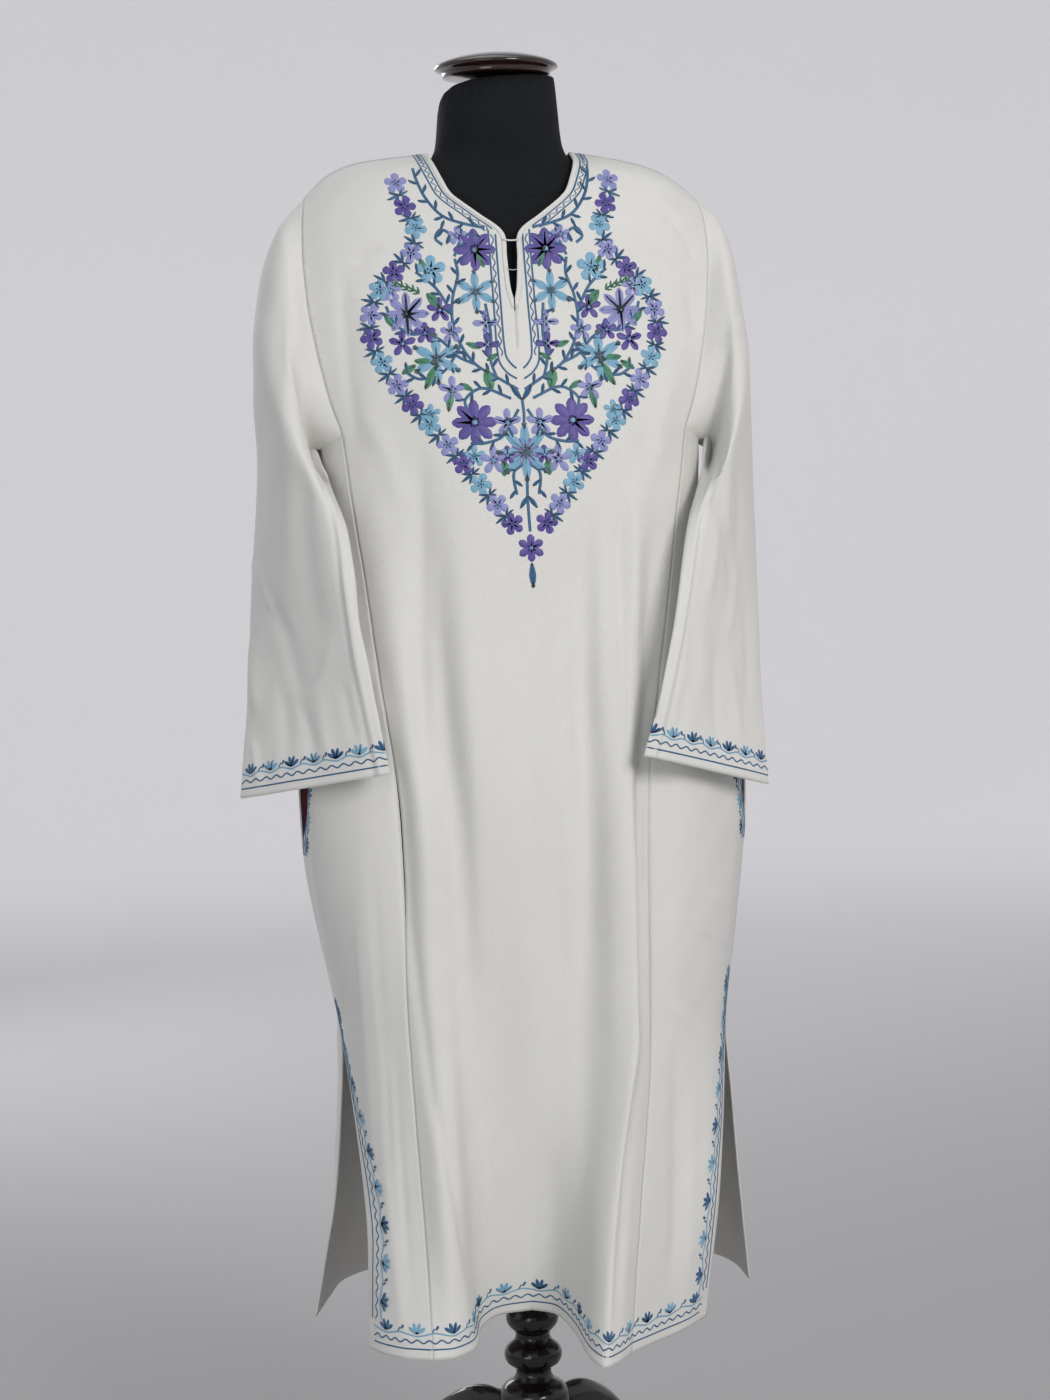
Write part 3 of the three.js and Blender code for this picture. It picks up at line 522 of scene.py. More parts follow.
# Folds of the hanging cloth: soft ridges (deeper than 0) and troughs, each from one place to
# another in front view, bowed to the right, with its own width on each side.
FRONT_FOLDS = [
    # x, z, x, z, bow, width to the left, to the right, depth
    (-91, 1120, -100, 790, 0, 10, 8, -3.2), (-70, 1110, -57, 790, 0, 13, 15, 2.2),
    (54, 1080, 48, 830, 0, 10, 10, -1.8), (88, 1085, 85, 815, 2, 5, 9, -3.4),
    (71, 1075, 68, 830, 0, 8, 7, 1.5), (105, 1080, 101, 815, 0, 7, 9, 2.4),
    (-123, 835, -117, 670, 0, 4, 9, -2.6), (-105, 830, -82, 660, 0, 11, 12, 2.0),
    (-68, 815, -62, 590, 3, 9, 10, -1.6), (25, 815, 28, 590, -3, 11, 10, -1.7),
    (80, 830, 72, 540, 0, 15, 14, 2.4), (103, 808, 97, 545, 0, 5, 4, -2.8),
    (97, 565, 56, 300, -4, 6, 4, -3.0), (-117, 695, -100, 500, 0, 4, 7, -2.2),
    (-101, 525, -62, 284, 3, 5, 8, -3.0), (-150, 760, -140, 420, 2, 3, 4, -1.1),
    (-163, 700, -155, 470, 0, 3, 4, 0.9), (-135, 600, -128, 350, 0, 3, 4, -1.0),
    (-145, 470, -137, 300, 0, 5, 6, 1.2), (123, 592, 158, 554, 3, 4, 6, 1.5),
    (150, 585, 186, 545, 2, 4, 5, -1.2), (175, 692, 197, 668, 2, 4, 4, 1.2),
    (158, 655, 192, 625, 2, 4, 5, -1.1), (-205, 765, -180, 600, 0, 4, 5, 1.3),
    (206, 765, 196, 625, 0, 5, 4, 1.3), (130, 560, 118, 330, 4, 5, 7, -1.5),
    (150, 520, 135, 310, 2, 6, 6, 1.3), (-156, 1288, -148, 1120, -4, 5, 8, -1.8),
    (-146, 1288, -118, 1300, 2, 4, 5, -1.5), (-136, 1262, -128, 1180, -3, 6, 6, 1.2),
    (131, 1342, 178, 1282, 8, 5, 6, -1.6), (116, 1314, 165, 1265, 9, 6, 6, 1.4),
    (163, 1268, 171, 1210, 3, 4, 6, -1.5), (150, 1180, 128, 1090, -5, 7, 9, 1.7),
    (-140, 1150, -112, 1060, 5, 8, 10, 1.6), (-30, 1030, -26, 880, 2, 12, 12, 0.9),
    (10, 1010, 14, 840, 0, 10, 12, -0.8), (-12, 700, -8, 480, 3, 14, 14, 1.0),
    (48, 700, 40, 480, -2, 9, 9, -1.0), (-40, 480, -36, 310, 2, 10, 12, 1.2),
    (8, 470, 0, 320, 2, 12, 10, -1.1), (-90, 950, -88, 860, 3, 6, 6, 0.9),
    (130, 900, 108, 830, -4, 6, 8, 1.4), (-150, 930, -128, 850, 4, 7, 7, 1.4),
    (-172, 900, -190, 820, 3, 5, 6, -1.3), (172, 900, 196, 830, -3, 6, 5, -1.3),
]
FOLD_STRENGTH = 1.35               # how much deeper than tabled the cloth creases
WAVE_HEIGHT = 0.6                  # of the slight waves all over a panel


def folds(table, x, z):
    """How far the folds stand out at each place."""
    total = np.zeros_like(x)
    for x0, z0, x1, z1, bow, left, right, depth in table:
        length = math.hypot(x1 - x0, z1 - z0)
        ux, uz = (x1 - x0) / length, (z1 - z0) / length
        share = np.clip(((x - x0) * ux + (z - z0) * uz) / length, -0.3, 1.3)
        aside = (z - z0) * ux - (x - x0) * uz - bow * 4 * share * (1 - share)
        width = np.where(aside < 0, left, right)
        ends = np.clip((share + 0.12) / 0.4, 0, 1) * np.clip((1.12 - share) / 0.4, 0, 1)
        total += depth * ends * ends * (3 - 2 * ends) * np.exp(-(aside / width) ** 2)
    return total


def unevenness(seed, x, z, size, waves=14):
    """Slight waves in every direction, which no hanging cloth is without."""
    draw = np.random.default_rng(seed)
    total = np.zeros_like(x)
    for _ in range(waves):
        turn, phase = draw.uniform(0, math.pi), draw.uniform(0, 2 * math.pi)
        step = draw.uniform(22, 95)
        total += np.sin((x * math.cos(turn) + z * math.sin(turn) * 0.5) * 2 * math.pi / step + phase)
    return total * size / math.sqrt(waves)


def outward(grid, towards):
    """Unit directions out of the cloth; towards is 1 or -1, as the grid is laid."""
    normal = np.cross(np.gradient(grid, axis=1), np.gradient(grid, axis=0)) * towards
    return normal / np.maximum(np.linalg.norm(normal, axis=2, keepdims=True), 1e-9)


def eased(distance, reach):
    t = np.clip(distance / reach, 0, 1)
    return t * t * (3 - 2 * t)


def folded(grids, table, towards, seed, holds):
    """The grids of a panel with their folds; a hold is 0 where a seam keeps the cloth smooth."""
    ways = [outward(grid, towards) for grid in grids]
    if len(grids) > 1:
        shared = ways[0][:, -1] + ways[1][:, 0]
        shared /= np.linalg.norm(shared, axis=1, keepdims=True)
        ways[0][:, -1] = ways[1][:, 0] = shared
    made = []
    for grid, way, hold in zip(grids, ways, holds):
        x, z = grid[..., 0], grid[..., 2]
        out = FOLD_STRENGTH * folds(table, x, z) + unevenness(seed, x, z, WAVE_HEIGHT)
        made.append(grid + way * (out * hold)[..., None])
    return made


def seam_hold(grid, first, last, top, reach=14):
    """Fades from 1 to 0 at the seams along the first and last columns and the top row."""
    hold = np.ones(grid.shape[:2])
    for asked, edge in ((first, grid[:, :1]), (last, grid[:, -1:]), (top, grid[-1:])):
        if asked:
            hold *= eased(np.linalg.norm(grid - edge, axis=2), reach)
    return hold


front_left, front_right = folded(
    (front_left, front_right), FRONT_FOLDS, 1, 3,
    [seam_hold(grid, False, False, True) for grid in (front_left, front_right)])
(side_left,) = folded([side_left], FRONT_FOLDS, 1, 3, [seam_hold(side_left, True, False, True)])
(side_right,) = folded([side_right], FRONT_FOLDS, 1, 3, [seam_hold(side_right, False, True, True)])

LIP_SAG = {"left": 11.0, "right": 5.0}
LIP_LOWEST_Z = POCKET_Z - 10       # each pocket's front lip sags inwards most at this height
LIP_HALF_HEIGHT = 60               # and over this height above and below it
LIP_COLUMNS = 9                    # columns of cloth that follow the lip, less and less
lip_shares = (np.clip(1 - np.arange(LIP_COLUMNS) / LIP_COLUMNS, 0, 1) ** 2)[None, :]


def lip_sag(name, z):
    """How far the front lip of a pocket has sagged towards the middle."""
    return LIP_SAG[name] * np.clip(1 - ((z - LIP_LOWEST_Z) / LIP_HALF_HEIGHT) ** 2, 0, 1) ** 1.5


side_left[:, :LIP_COLUMNS, 0] += lip_sag("left", side_left[:, :1, 2]) * lip_shares
side_right[:, -LIP_COLUMNS:, 0] -= lip_sag("right", side_right[:, -1:, 2]) * lip_shares[:, ::-1]

# The weave: fine diagonal twill in a slightly uneven undyed cotton, calendered to a faint sheen.
twill = Finish("off_white_twill", Roughness=0.82, Sheen_Weight=0.18, Sheen_Roughness=0.45,
               Specular_IOR_Level=0.35)
thread_lines = twill.node("ShaderNodeTexWave", {"bands_direction": "DIAGONAL"},
                          {"Vector": twill.coordinates("UV"), "Scale": 330.0, "Distortion": 1.2,
                           "Detail": 2.0, "Detail Scale": 2.0})
slubs = twill.cloudy(twill.stretched("UV", (90, 9, 1)), 6.0, 3.0)
patches = twill.cloudy(twill.coordinates(), 6.0, 3.0)
shade = slubs * 0.45 + patches * 0.55
twill.feed("Base Color", twill.between(shade, (0.670, 0.664, 0.632, 1), (0.752, 0.747, 0.718, 1)))
twill.feed("Roughness", twill.ranged(slubs, 0.3, 0.7, 0.76, 0.9))
twill.relief(thread_lines * 0.6 + slubs * 0.8 + patches * 0.5, 0.0005, 0.5)


def sewn(name, grids, towards, node, finish=twill, thickness=CLOTH):
    """A piece of cloth: a flat grid for each part of it, bent to its place, joined and thick."""
    mesh = bmesh.new()
    weave = mesh.loops.layers.uv.new("weave")
    start = 0.0
    for grid in grids:
        tall, wide = grid.shape[:2]
        run = start + lengths(grid[tall // 2]) * MM
        rise = lengths(grid[:, wide // 2]) * MM
        start = run[-1]
        made = bmesh.ops.create_grid(mesh, x_segments=wide - 1, y_segments=tall - 1, size=1.0)["verts"]
        flat = {}
        for k, (vert, place) in enumerate(zip(made, (grid * MM).reshape(-1, 3))):
            vert.co = (place[0] + AXIS_X, place[1], place[2])
            flat[vert] = (run[k % wide], rise[k // wide])
        for face in {face for vert in made for face in vert.link_faces}:
            for loop in face.loops:
                loop[weave].uv = flat[loop.vert]
    bmesh.ops.remove_doubles(mesh, verts=mesh.verts, dist=3e-5)
    if towards < 0:
        bmesh.ops.reverse_faces(mesh, faces=mesh.faces)
    piece = shown(name, mesh, finish)
    wall = piece.modifiers.new("thickness", "SOLIDIFY")
    wall.thickness = thickness * MM
    wall.offset = -1
    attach(piece, "root")
    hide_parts(node)
    return piece


front = sewn("front_centre_panel", [front_left, front_right], 1, "front_centre")
front_side_left = sewn("front_side_panel_left", [side_left], 1, "front_side_left")
front_side_right = sewn("front_side_panel_right", [side_right], 1, "front_side_right")


# ---------------------------------------------------------------- back of the tunic
# One wide panel of the same twill from edge to edge, seamed to the front at the shoulders
# and down the sides, and hanging free below the hips. It falls in long soft flutes.
BACK_LINES = [
    # x at underarm, waist, hip; fold at waist, hip; slit x, y; shin x, y; hem x, y, z
    (-182, -185, -214, 0, 0, -177, 0, -185, 8, -211, 4, 285),
    (-178, -175, -198, 0, 0, -177, 56, -184, 66, -194, 74, 286),
    (-150, -150, -166, 0, 2, -160, 98, -166, 118, -174, 134, 286),
    (-108, -108, -120, 0, -2, -118, 116, -122, 144, -134, 172, 286),
    (-72, -72, -76, 2, 4, -80, 126, -84, 140, -90, 158, 288),
    (-36, -36, -38, 0, 0, -38, 126, -40, 142, -44, 152, 289),
    (0, 0, 0, 3, 6, 0, 134, 0, 154, 2, 174, 288),
    (36, 36, 38, 0, 0, 40, 127, 42, 145, 46, 158, 288),
    (72, 72, 78, 0, 3, 82, 129, 90, 148, 98, 164, 288),
    (108, 108, 124, 2, 0, 124, 120, 136, 144, 150, 184, 286),
    (150, 150, 168, 0, 2, 168, 100, 180, 126, 194, 164, 286),
    (178, 175, 200, 0, 0, 194, 54, 206, 80, 220, 116, 285),
    (182, 185, 222, 0, 0, 199, 0, 211, 22, 226, 50, 284),
]
BACK_NECK = [
    # share of the way up, x, z
    (0.15, 0, 1172), (0.3, 0, 1232), (0.45, 0, 1288), (0.6, 0, 1338), (0.72, 0, 1372),
    (0.82, 26, 1376), (0.91, 50, 1383), (0.96, 64, 1389), (1, 70, 1396),
]
BACK_ARMHOLE = [
    (0, 182, 1116), (0.18, 178, 1152), (0.4, 183, 1210), (0.65, 187, 1275), (0.88, 188, 1330),
    (1, 186, 1353),
]
BACK_FOLDS = [
    # x, z, x, z, bow, width to the left, to the right, depth
    (-96, 1090, -112, 720, 4, 11, 9, -2.6), (-60, 1070, -66, 640, -3, 14, 12, 2.4),
    (-22, 1040, -24, 560, 2, 12, 12, -1.8), (14, 1060, 18, 620, -2, 13, 14, 2.0),
    (52, 1080, 56, 700, 3, 10, 12, -2.2), (92, 1075, 104, 650, -4, 12, 10, 2.3),
    (128, 1050, 142, 760, -5, 8, 9, -2.0), (-134, 1040, -150, 800, 5, 8, 8, 1.8),
    (-140, 620, -152, 330, -3, 7, 9, -2.2), (-104, 560, -112, 300, 2, 9, 8, 2.0),
    (-62, 520, -68, 300, 2, 7, 9, -1.8), (22, 560, 26, 300, -2, 10, 8, 1.8),
    (64, 540, 74, 300, 3, 8, 8, -2.0), (120, 600, 138, 300, -3, 8, 9, 1.9),
    (168, 560, 186, 330, 2, 7, 7, -1.7),
    (-150, 1230, -120, 1120, 6, 6, 8, -1.6), (150, 1235, 118, 1110, -6, 8, 6, -1.7),
    (-128, 1330, -60, 1280, -8, 7, 7, 1.3), (126, 1328, 58, 1276, 8, 7, 7, 1.2),
    (-90, 1250, -84, 1150, 3, 10, 10, 0.9), (70, 1240, 66, 1130, -3, 10, 11, -0.9),
    (-176, 930, -196, 830, 3, 5, 6, -1.2), (174, 930, 198, 820, -3, 6, 5, 1.2),
    (-60, 1000, 40, 980, -6, 6, 8, -0.8), (-30, 900, 70, 918, 5, 7, 7, 0.7),
]
BACK_CENTRE = 6
BACK_ACROSS = 54                   # squares across each half of the back
back_lower = lower_rows(BACK_LINES, False)
back_heights, back_levels = levels_of(BACK_NECK, BACK_ARMHOLE)
back_left, back_right = (
    even_grid(some_columns(back_lower, min(BACK_CENTRE, seam), max(BACK_CENTRE, seam))
              + upper_half(back_lower, BACK_CENTRE, seam, BACK_NECK, BACK_ARMHOLE, False),
              back_heights, BACK_ACROSS, back_levels)
    for seam in (0, len(BACK_LINES) - 1))
back_left, back_right = folded(
    (back_left, back_right), BACK_FOLDS, -1, 5,
    [seam_hold(back_left, True, False, True), seam_hold(back_right, False, True, True)])
back = sewn("back_panel_cloth", [back_left, back_right], -1, "back_panel")


# ---------------------------------------------------------------- sleeves
# Wide straight tubes set into the armholes and pressed flat, so that each hangs with a
# sharp fold on the inside and a softer one outside, and creases where the arm would bend.
LEFT_SLEEVE = [
    # outer fold x, y, z; inner fold x, y, z; half thickness in front, behind; outward turn
    (-210, 3, 1330, -191, -18, 1110, 66, 66, 0.02), (-227, 3, 1284, -185, -54, 1098, 58, 46, 0.05),
    (-233, 4, 1218, -174, -90, 1079, 46, 24, 0.25), (-234, 12, 1130, -162, -114, 1043, 30, 14, 0.4),
    (-244, 14, 1010, -154, -130, 965, 17, 12, 0.5), (-254, -10, 900, -143, -136, 893, 12, 9, 0.5),
    (-265, -44, 796, -131, -140, 822, 9, 7, 0.5),
]
RIGHT_SLEEVE = [
    (208, 3, 1330, 191, -18, 1110, 64, 66, 0.02), (220, 3, 1284, 188, -54, 1098, 56, 44, 0.05),
    (222, 4, 1218, 177, -92, 1079, 44, 20, 0.25), (230, 10, 1130, 156, -116, 1043, 28, 12, 0.4),
    (238, 4, 1010, 138, -138, 965, 16, 9, 0.5), (234, -30, 900, 120, -152, 896, 12, 6, 0.5),
    (232, -70, 792, 100, -158, 831, 9, 6, 0.5),
]
LEFT_SLEEVE_FOLDS = [
    # x, z, x, z, bow, width to the left, to the right, depth
    (-248, 1019, -228, 965, 1, 2.5, 4, 1.4), (-234, 1148, -242, 1037, 0, 8, 8, -1.8),
    (-215, 1166, -220, 945, 3, 10, 9, 1.7), (-200, 1110, -190, 944, -3, 8, 9, -1.6),
    (-254, 945, -248, 871, 0, 5, 6, 1.6), (-208, 887, -199, 828, 2, 4, 5, -1.7),
    (-190, 896, -183, 827, -2, 5, 5, 1.3), (-232, 981, -208, 889, 3, 6, 8, -1.4),
    (-165, 1016, -155, 886, 2, 7, 7, 1.3), (-207, 1304, -222, 1165, 2, 8, 8, -1.4),
    (-193, 1322, -199, 1146, -2, 9, 9, 1.2), (-178, 942, -199, 888, 2, 4, 6, 1.2),
    (-253, 852, -248, 805, 0, 2.5, 3, 1.2), (-225, 905, -222, 822, 2, 5, 5, -1.1),
    (-238, 1000, -215, 940, 2, 4, 5, -1.1), (-170, 905, -160, 850, 0, 4, 4, -1.0),
]
RIGHT_SLEEVE_FOLDS = [
    (219, 1228, 180, 1188, -3, 3, 5, 1.9), (184, 1292, 182, 1258, 1, 3, 4, 1.2),
    (178, 1175, 174, 1090, 2, 4, 4, 1.4), (188, 1119, 177, 1053, 2, 4, 6, -1.8),
    (197, 1109, 199, 1006, -3, 5, 5, 1.7), (209, 1090, 210, 1005, 2, 4, 5, -1.5),
    (171, 1060, 187, 1050, 1, 3, 3, -1.3), (182, 1043, 169, 969, 2, 5, 5, 1.7),
    (194, 1034, 203, 968, -2, 4, 5, -1.6), (207, 1005, 192, 931, 2, 5, 5, 1.4),
    (163, 969, 160, 875, 0, 7, 7, 1.3), (178, 930, 177, 837, -2, 4, 5, -1.3),
    (193, 920, 202, 831, 2, 5, 5, 1.3), (216, 967, 215, 873, 2, 5, 5, -1.4),
    (162, 1119, 153, 1044, 0, 7, 7, -1.7), (146, 900, 136, 850, 0, 4, 5, -0.9),
]
SLEEVE_ROUND = 112                 # squares round a sleeve
SLEEVE_DOWN = 124                  # and down it
TUCK = 5                           # seam allowance turned in behind the body's cloth
PRESSED_STRIP = 10                 # between the inner fold and the crease pressed beside it


def upper_rows(levels, z):
    return int(np.searchsorted(levels, z + 1))


def hole_edge(panel, side, back_half, first):
    """Points round an armhole, and beside each one a point in the cloth and the way out."""
    column, beside = (0, 2) if first else (-1, -3)
    step = 1 if first else -1
    parts = []
    for grid, towards, start, flip in ((panel, 1, upper_rows(front_levels, FRONT_ARMHOLE[0][2]), True),
                                       (back_half, -1, upper_rows(back_levels, UNDERARM_Z), False)):
        way = outward(grid, towards)
        rows = slice(start, None)
        part = [grid[rows, column], grid[rows, beside], way[rows, column]]
        parts.append([values[::-1] for values in part] if flip else part)
    way = outward(side, 1)
    low = [side[-1][::-step], side[-3][::-step], way[-1][::-step]]
    front_part = [np.concatenate(pair) for pair in zip(parts[0], low)]
    return front_part, parts[1]


def evenly(path, count):
    """A path and what goes with it, at even steps along the path."""
    run = lengths(path[0])
    at = np.linspace(0, run[-1], count + 1)
    return [np.stack([np.interp(at, run, values[:, k]) for k in range(3)], axis=1) for values in path]


def sleeve_grid(edge, stations, side, table, behind_table, seed):
    half = SLEEVE_ROUND // 2
    front_part, back_part = (evenly(path, half) for path in edge)
    hole, beside, way = (np.concatenate([a, b[1:]]) for a, b in zip(front_part, back_part))
    hole[-1] = hole[0]
    into = beside - hole
    tucked = hole + into / np.linalg.norm(into, axis=1, keepdims=True) * TUCK - way * (CLOTH + 0.8)
    angle = np.linspace(0, 2 * math.pi, SLEEVE_ROUND + 1)[:, None]
    rings = [hole]
    for ox, oy, oz, ix, iy, iz, fore, aft, lean in stations:
        outer, inner = np.array((ox, oy, oz)), np.array((ix, iy, iz))
        reach = (outer - inner) / 2
        across = np.array((side * lean, -1.0, 0.0))
        across -= reach * (across @ reach) / (reach @ reach)
        across /= np.linalg.norm(across)
        thick = np.where(angle < math.pi, fore, aft)
        rings.append((outer + inner) / 2 + reach * np.cos(angle) + across * thick * np.sin(angle))
    rings = np.array(rings)
    apart = np.linalg.norm(np.diff(rings, axis=0), axis=2).mean(axis=1)
    spread = np.concatenate([[0], np.cumsum(apart)])
    table_rows = np.column_stack([spread, rings.reshape(len(rings), -1)])
    levels = np.linspace(0, spread[-1], SLEEVE_DOWN + 1)
    grid = along(table_rows, levels)[:, 1:].reshape(SLEEVE_DOWN + 1, -1, 3)
    # Folds on the front and the back, none at the armhole, and the strip pressed along the inside.
    out_of = outward(grid, side)
    x, z = grid[..., 0], grid[..., 2]
    facing = np.sin(angle[:, 0])[None, :]
    fore = np.clip(facing * 3, 0, 1)
    aft = np.clip(-facing * 3, 0, 1)
    out = FOLD_STRENGTH * (fore * folds(table, x, z) + aft * folds(behind_table, -x, z))
    out += unevenness(seed, x + facing * 40, z, 0.5)
    inner_fold = grid[:, half][:, None, :]
    gap = np.linalg.norm(grid - inner_fold, axis=2)
    pressed = 1.7 * np.exp(-((gap - PRESSED_STRIP) / np.where(gap < PRESSED_STRIP, 4, 2)) ** 2)
    pressed -= 1.0 * np.exp(-((gap - PRESSED_STRIP - 5) / 3.5) ** 2)
    down = levels[:, None]
    out += pressed * fore * eased(down - 30, 60)
    out *= eased(down, 26)
    grid = grid + out_of * out[..., None]
    return np.concatenate([tucked[None], grid])


left_hole = hole_edge(front_left, side_left, back_left, True)
right_hole = hole_edge(front_right, side_right, back_right, False)
left_grid = sleeve_grid(left_hole, LEFT_SLEEVE, -1, LEFT_SLEEVE_FOLDS, RIGHT_SLEEVE_FOLDS, 11)
right_grid = sleeve_grid(right_hole, RIGHT_SLEEVE, 1, RIGHT_SLEEVE_FOLDS, LEFT_SLEEVE_FOLDS, 12)
for name, grid, side, wide in (("left", left_grid, -1, 0.36), ("right", right_grid, 1, 0.34)):
    sleeve = sewn(f"sleeve_{name}_cloth", [grid], side, f"sleeve_{name}")


# ---------------------------------------------------------------- neck binding
# A narrow bias strip of the same twill, folded over the raw edge of the neckline and down
# both sides of the keyhole slit, and stitched through.
BINDING_REACH = 2.4                # how far it stands beyond the cloth's edge
BINDING_LAP = 2.2                  # and how far it lies over each face
NECK_LINES = 14                    # columns of cloth beside the neckline that are followed
front_gap = front_right[:, 0, 0] - front_left[:, -1, 0]
back_gap = back_right[:, 0, 0] - back_left[:, -1, 0]
open_from = int(np.argmax(front_gap > 0.6))
back_from = int(np.argmax(back_gap > 0.6))
neck_lines = [
    np.concatenate([front_left[open_from:, -1 - k], back_left[back_from:, -1 - k][::-1],
                    back_right[back_from:, k], front_right[open_from:, k][::-1]])
    for k in range(NECK_LINES)
]
neck_gap = np.concatenate([front_gap[open_from:], back_gap[back_from:][::-1],
                           back_gap[back_from:], front_gap[open_from:][::-1]])
apart = np.concatenate([[True], np.linalg.norm(np.diff(neck_lines[0], axis=0), axis=1) > 0.05])
neck_lines = [line[apart] for line in neck_lines]


class Edge:
    """A strip of cloth beside an edge, where places are given along the edge and in from it."""

    def __init__(self, lines, middle):
        self.lines = np.array(lines)
        self.run = lengths(self.lines[0])
        inward = np.linalg.norm(np.diff(self.lines, axis=0), axis=2)
        self.reach = np.concatenate([np.zeros((1, len(self.run))), np.cumsum(inward, axis=0)])
        self.way = outward(self.lines, 1)
        if ((self.lines - middle) * self.way).sum() < 0:
            self.way = -self.way

    def beside(self, station, reach):
        k = np.clip((self.reach[:, station] <= reach).sum(axis=0) - 1, 0, len(self.lines) - 2)
        low, high = self.reach[k, station], self.reach[k + 1, station]
        share = ((reach - low) / np.maximum(high - low, 1e-6))[:, None]
        return [values[k, station] + (values[k + 1, station] - values[k, station]) * share
                for values in (self.lines, self.way)]

    def place(self, flat):
        run, reach, height = flat.T
        run = np.clip(run, 0, self.run[-1] - 1e-6)
        station = np.clip(np.searchsorted(self.run, run, side="right") - 1, 0, len(self.run) - 2)
        share = ((run - self.run[station]) / (self.run[station + 1] - self.run[station]))[:, None]
        here, there = self.beside(station, reach), self.beside(station + 1, reach)
        spot, way = (a + (b - a) * share for a, b in zip(here, there))
        return spot + way * height[:, None]


neck_edge = Edge(neck_lines, (0, 0, 1150))
edge_line, edge_way = neck_edge.lines[0], neck_edge.way[0]
into = edge_line - neck_edge.lines[2]
into -= edge_way * (into * edge_way).sum(axis=1, keepdims=True)
into /= np.linalg.norm(into, axis=1, keepdims=True)
reach = np.clip(neck_gap[apart] / 2 - 0.4, 0.3, BINDING_REACH)
BINDING_SECTION = [
    # share beyond the edge, millimetres over the cloth, height over its outer face
    (0, -BINDING_LAP, 0.25), (0, -BINDING_LAP * 0.6, 0.6), (0.5, 0, 0.6), (0.9, 0, 0.25), (1, 0, -0.75),
    (0.9, 0, -1.75), (0.5, 0, -2.1), (0, -BINDING_LAP * 0.6, -2.1), (0, -BINDING_LAP, -1.75),
]
binding_grid = np.array([edge_line + into * (reach * share + over)[:, None] + edge_way * out
                         for share, over, out in BINDING_SECTION])
binding = sewn("neck_binding_cloth", [binding_grid], -1, "neck_binding", thickness=0.3)


# ---------------------------------------------------------------- thread loop
# A small worked bar of twisted cotton that joins the two sides at the top of the slit, and
# below it the thin thread loop for a hook. Both are sewn into the binding.
LOOP_BARS = [
    # height, half length, thickness, droop
    (1307, 8.0, 1.5, 1.2), (1281, 6.6, 0.6, 2.6),
]
LOOP_SET_OUT = 1.9                 # in front of the cloth's own depth at the middle
cord_bars = bmesh.new()
for z, half, thick, droop in LOOP_BARS:
    one = bmesh.new()
    bmesh.ops.create_cone(one, cap_ends=True, segments=10, radius1=thick / 2, radius2=thick / 2,
                          depth=2 * half, matrix=Matrix.Rotation(math.pi / 2, 4, "Y"))
    along_bar = [edge for edge in one.edges if edge.calc_length() > half]
    bmesh.ops.subdivide_edges(one, edges=along_bar, cuts=7)
    y = depth_at(0, z, True) - LOOP_SET_OUT
    for vert in one.verts:
        sag = droop * (1 - (vert.co.x / half) ** 2)
        vert.co = (vert.co.x * MM + AXIS_X, (vert.co.y + y + sag * 0.4) * MM,
                   (vert.co.z + z - sag) * MM)
    laid = bpy.data.meshes.new("bar")
    one.to_mesh(laid)
    cord_bars.from_mesh(laid)
bar = shown("neck_loop_thread", cord_bars, twill)
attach(bar, "root")
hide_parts("neck_loop")


# ---------------------------------------------------------------- pockets
# Bags of plain dark red cotton hung inside the side panels, sewn to both lips of a slit in
# each side seam. They show only where the slit gapes.
POCKET_ROWS = [738, 770, 805, 840, 875, 905]
POCKET_INSETS = [
    # share of x, share of y, share of the lip's sag
    (0.982, 0.98, 1), (0.965, 0.92, 0.3), (0.955, 0.88, 0),
]
BACK_LIP_INSET = 0.987             # share of x at the back lip
BACK_LIP_CLEAR = 1.0               # and how far behind that lip's edge the bag is sewn
red_cotton = Finish("dark_red_cotton", Roughness=0.9, Sheen_Weight=0.1)
red_weave = red_cotton.cloudy(red_cotton.stretched("UV", (160, 160, 1)), 8.0, 2.0)
dye = red_cotton.between(red_weave, (0.055, 0.002, 0.005, 1), (0.10, 0.006, 0.012, 1))
red_cotton.feed("Base Color", dye)
red_cotton.relief(red_weave, 0.0004, 0.5)
for name, back_edge, front_edge, step in (("left", BACK_LINES[0], FRONT_LINES[:3], 1),
                                          ("right", BACK_LINES[-1], FRONT_LINES[:-4:-1], -1)):
    rows = []
    for z in POCKET_ROWS:
        x, y, _ = line_point(back_edge, z, False, True)
        row = [(x * BACK_LIP_INSET, y + BACK_LIP_CLEAR, z)]
        for line, (inset_x, inset_y, follows) in zip(front_edge, POCKET_INSETS):
            x, y, _ = line_point(line, z, True, line is front_edge[0])
            sag = step * float(lip_sag(name, z)) * follows
            row.append((x * inset_x + sag, y * inset_y, z))
        rows.append(row[::step])
    grid = even_grid(rows, POCKET_ROWS, 20, np.linspace(POCKET_ROWS[0], POCKET_ROWS[-1], 40))
    bag = sewn(f"pocket_bag_{name}", [grid], 1, f"pocket_{name}", finish=red_cotton, thickness=2.4)


# ---------------------------------------------------------------- embroidery
# Close rows of chain and satin stitch in silk, worked by hand straight on the twill: a yoke
# of flowers round the neck, and a narrow border at the placket, neck, hem, slits, pocket
# mouths and cuffs. Each colour of thread is one piece.
THREADS = [
    # name, colour with painted shade in the hollows, colour with painted highlight on the tops
    ("blue", (0.010, 0.050, 0.120, 1), (0.045, 0.170, 0.330, 1)),
    ("light_blue", (0.110, 0.280, 0.420, 1), (0.260, 0.480, 0.640, 1)),
    ("lavender", (0.160, 0.180, 0.420, 1), (0.330, 0.350, 0.620, 1)),
    ("purple", (0.045, 0.030, 0.170, 1), (0.130, 0.100, 0.400, 1)),
    ("green", (0.020, 0.120, 0.070, 1), (0.100, 0.320, 0.200, 1)),
]
THREAD_BASE = 0.08                 # where the stitches leave the cloth
THREAD_HIGH = 0.75                 # how high a worked petal stands
STEM_WIDE = 2.8
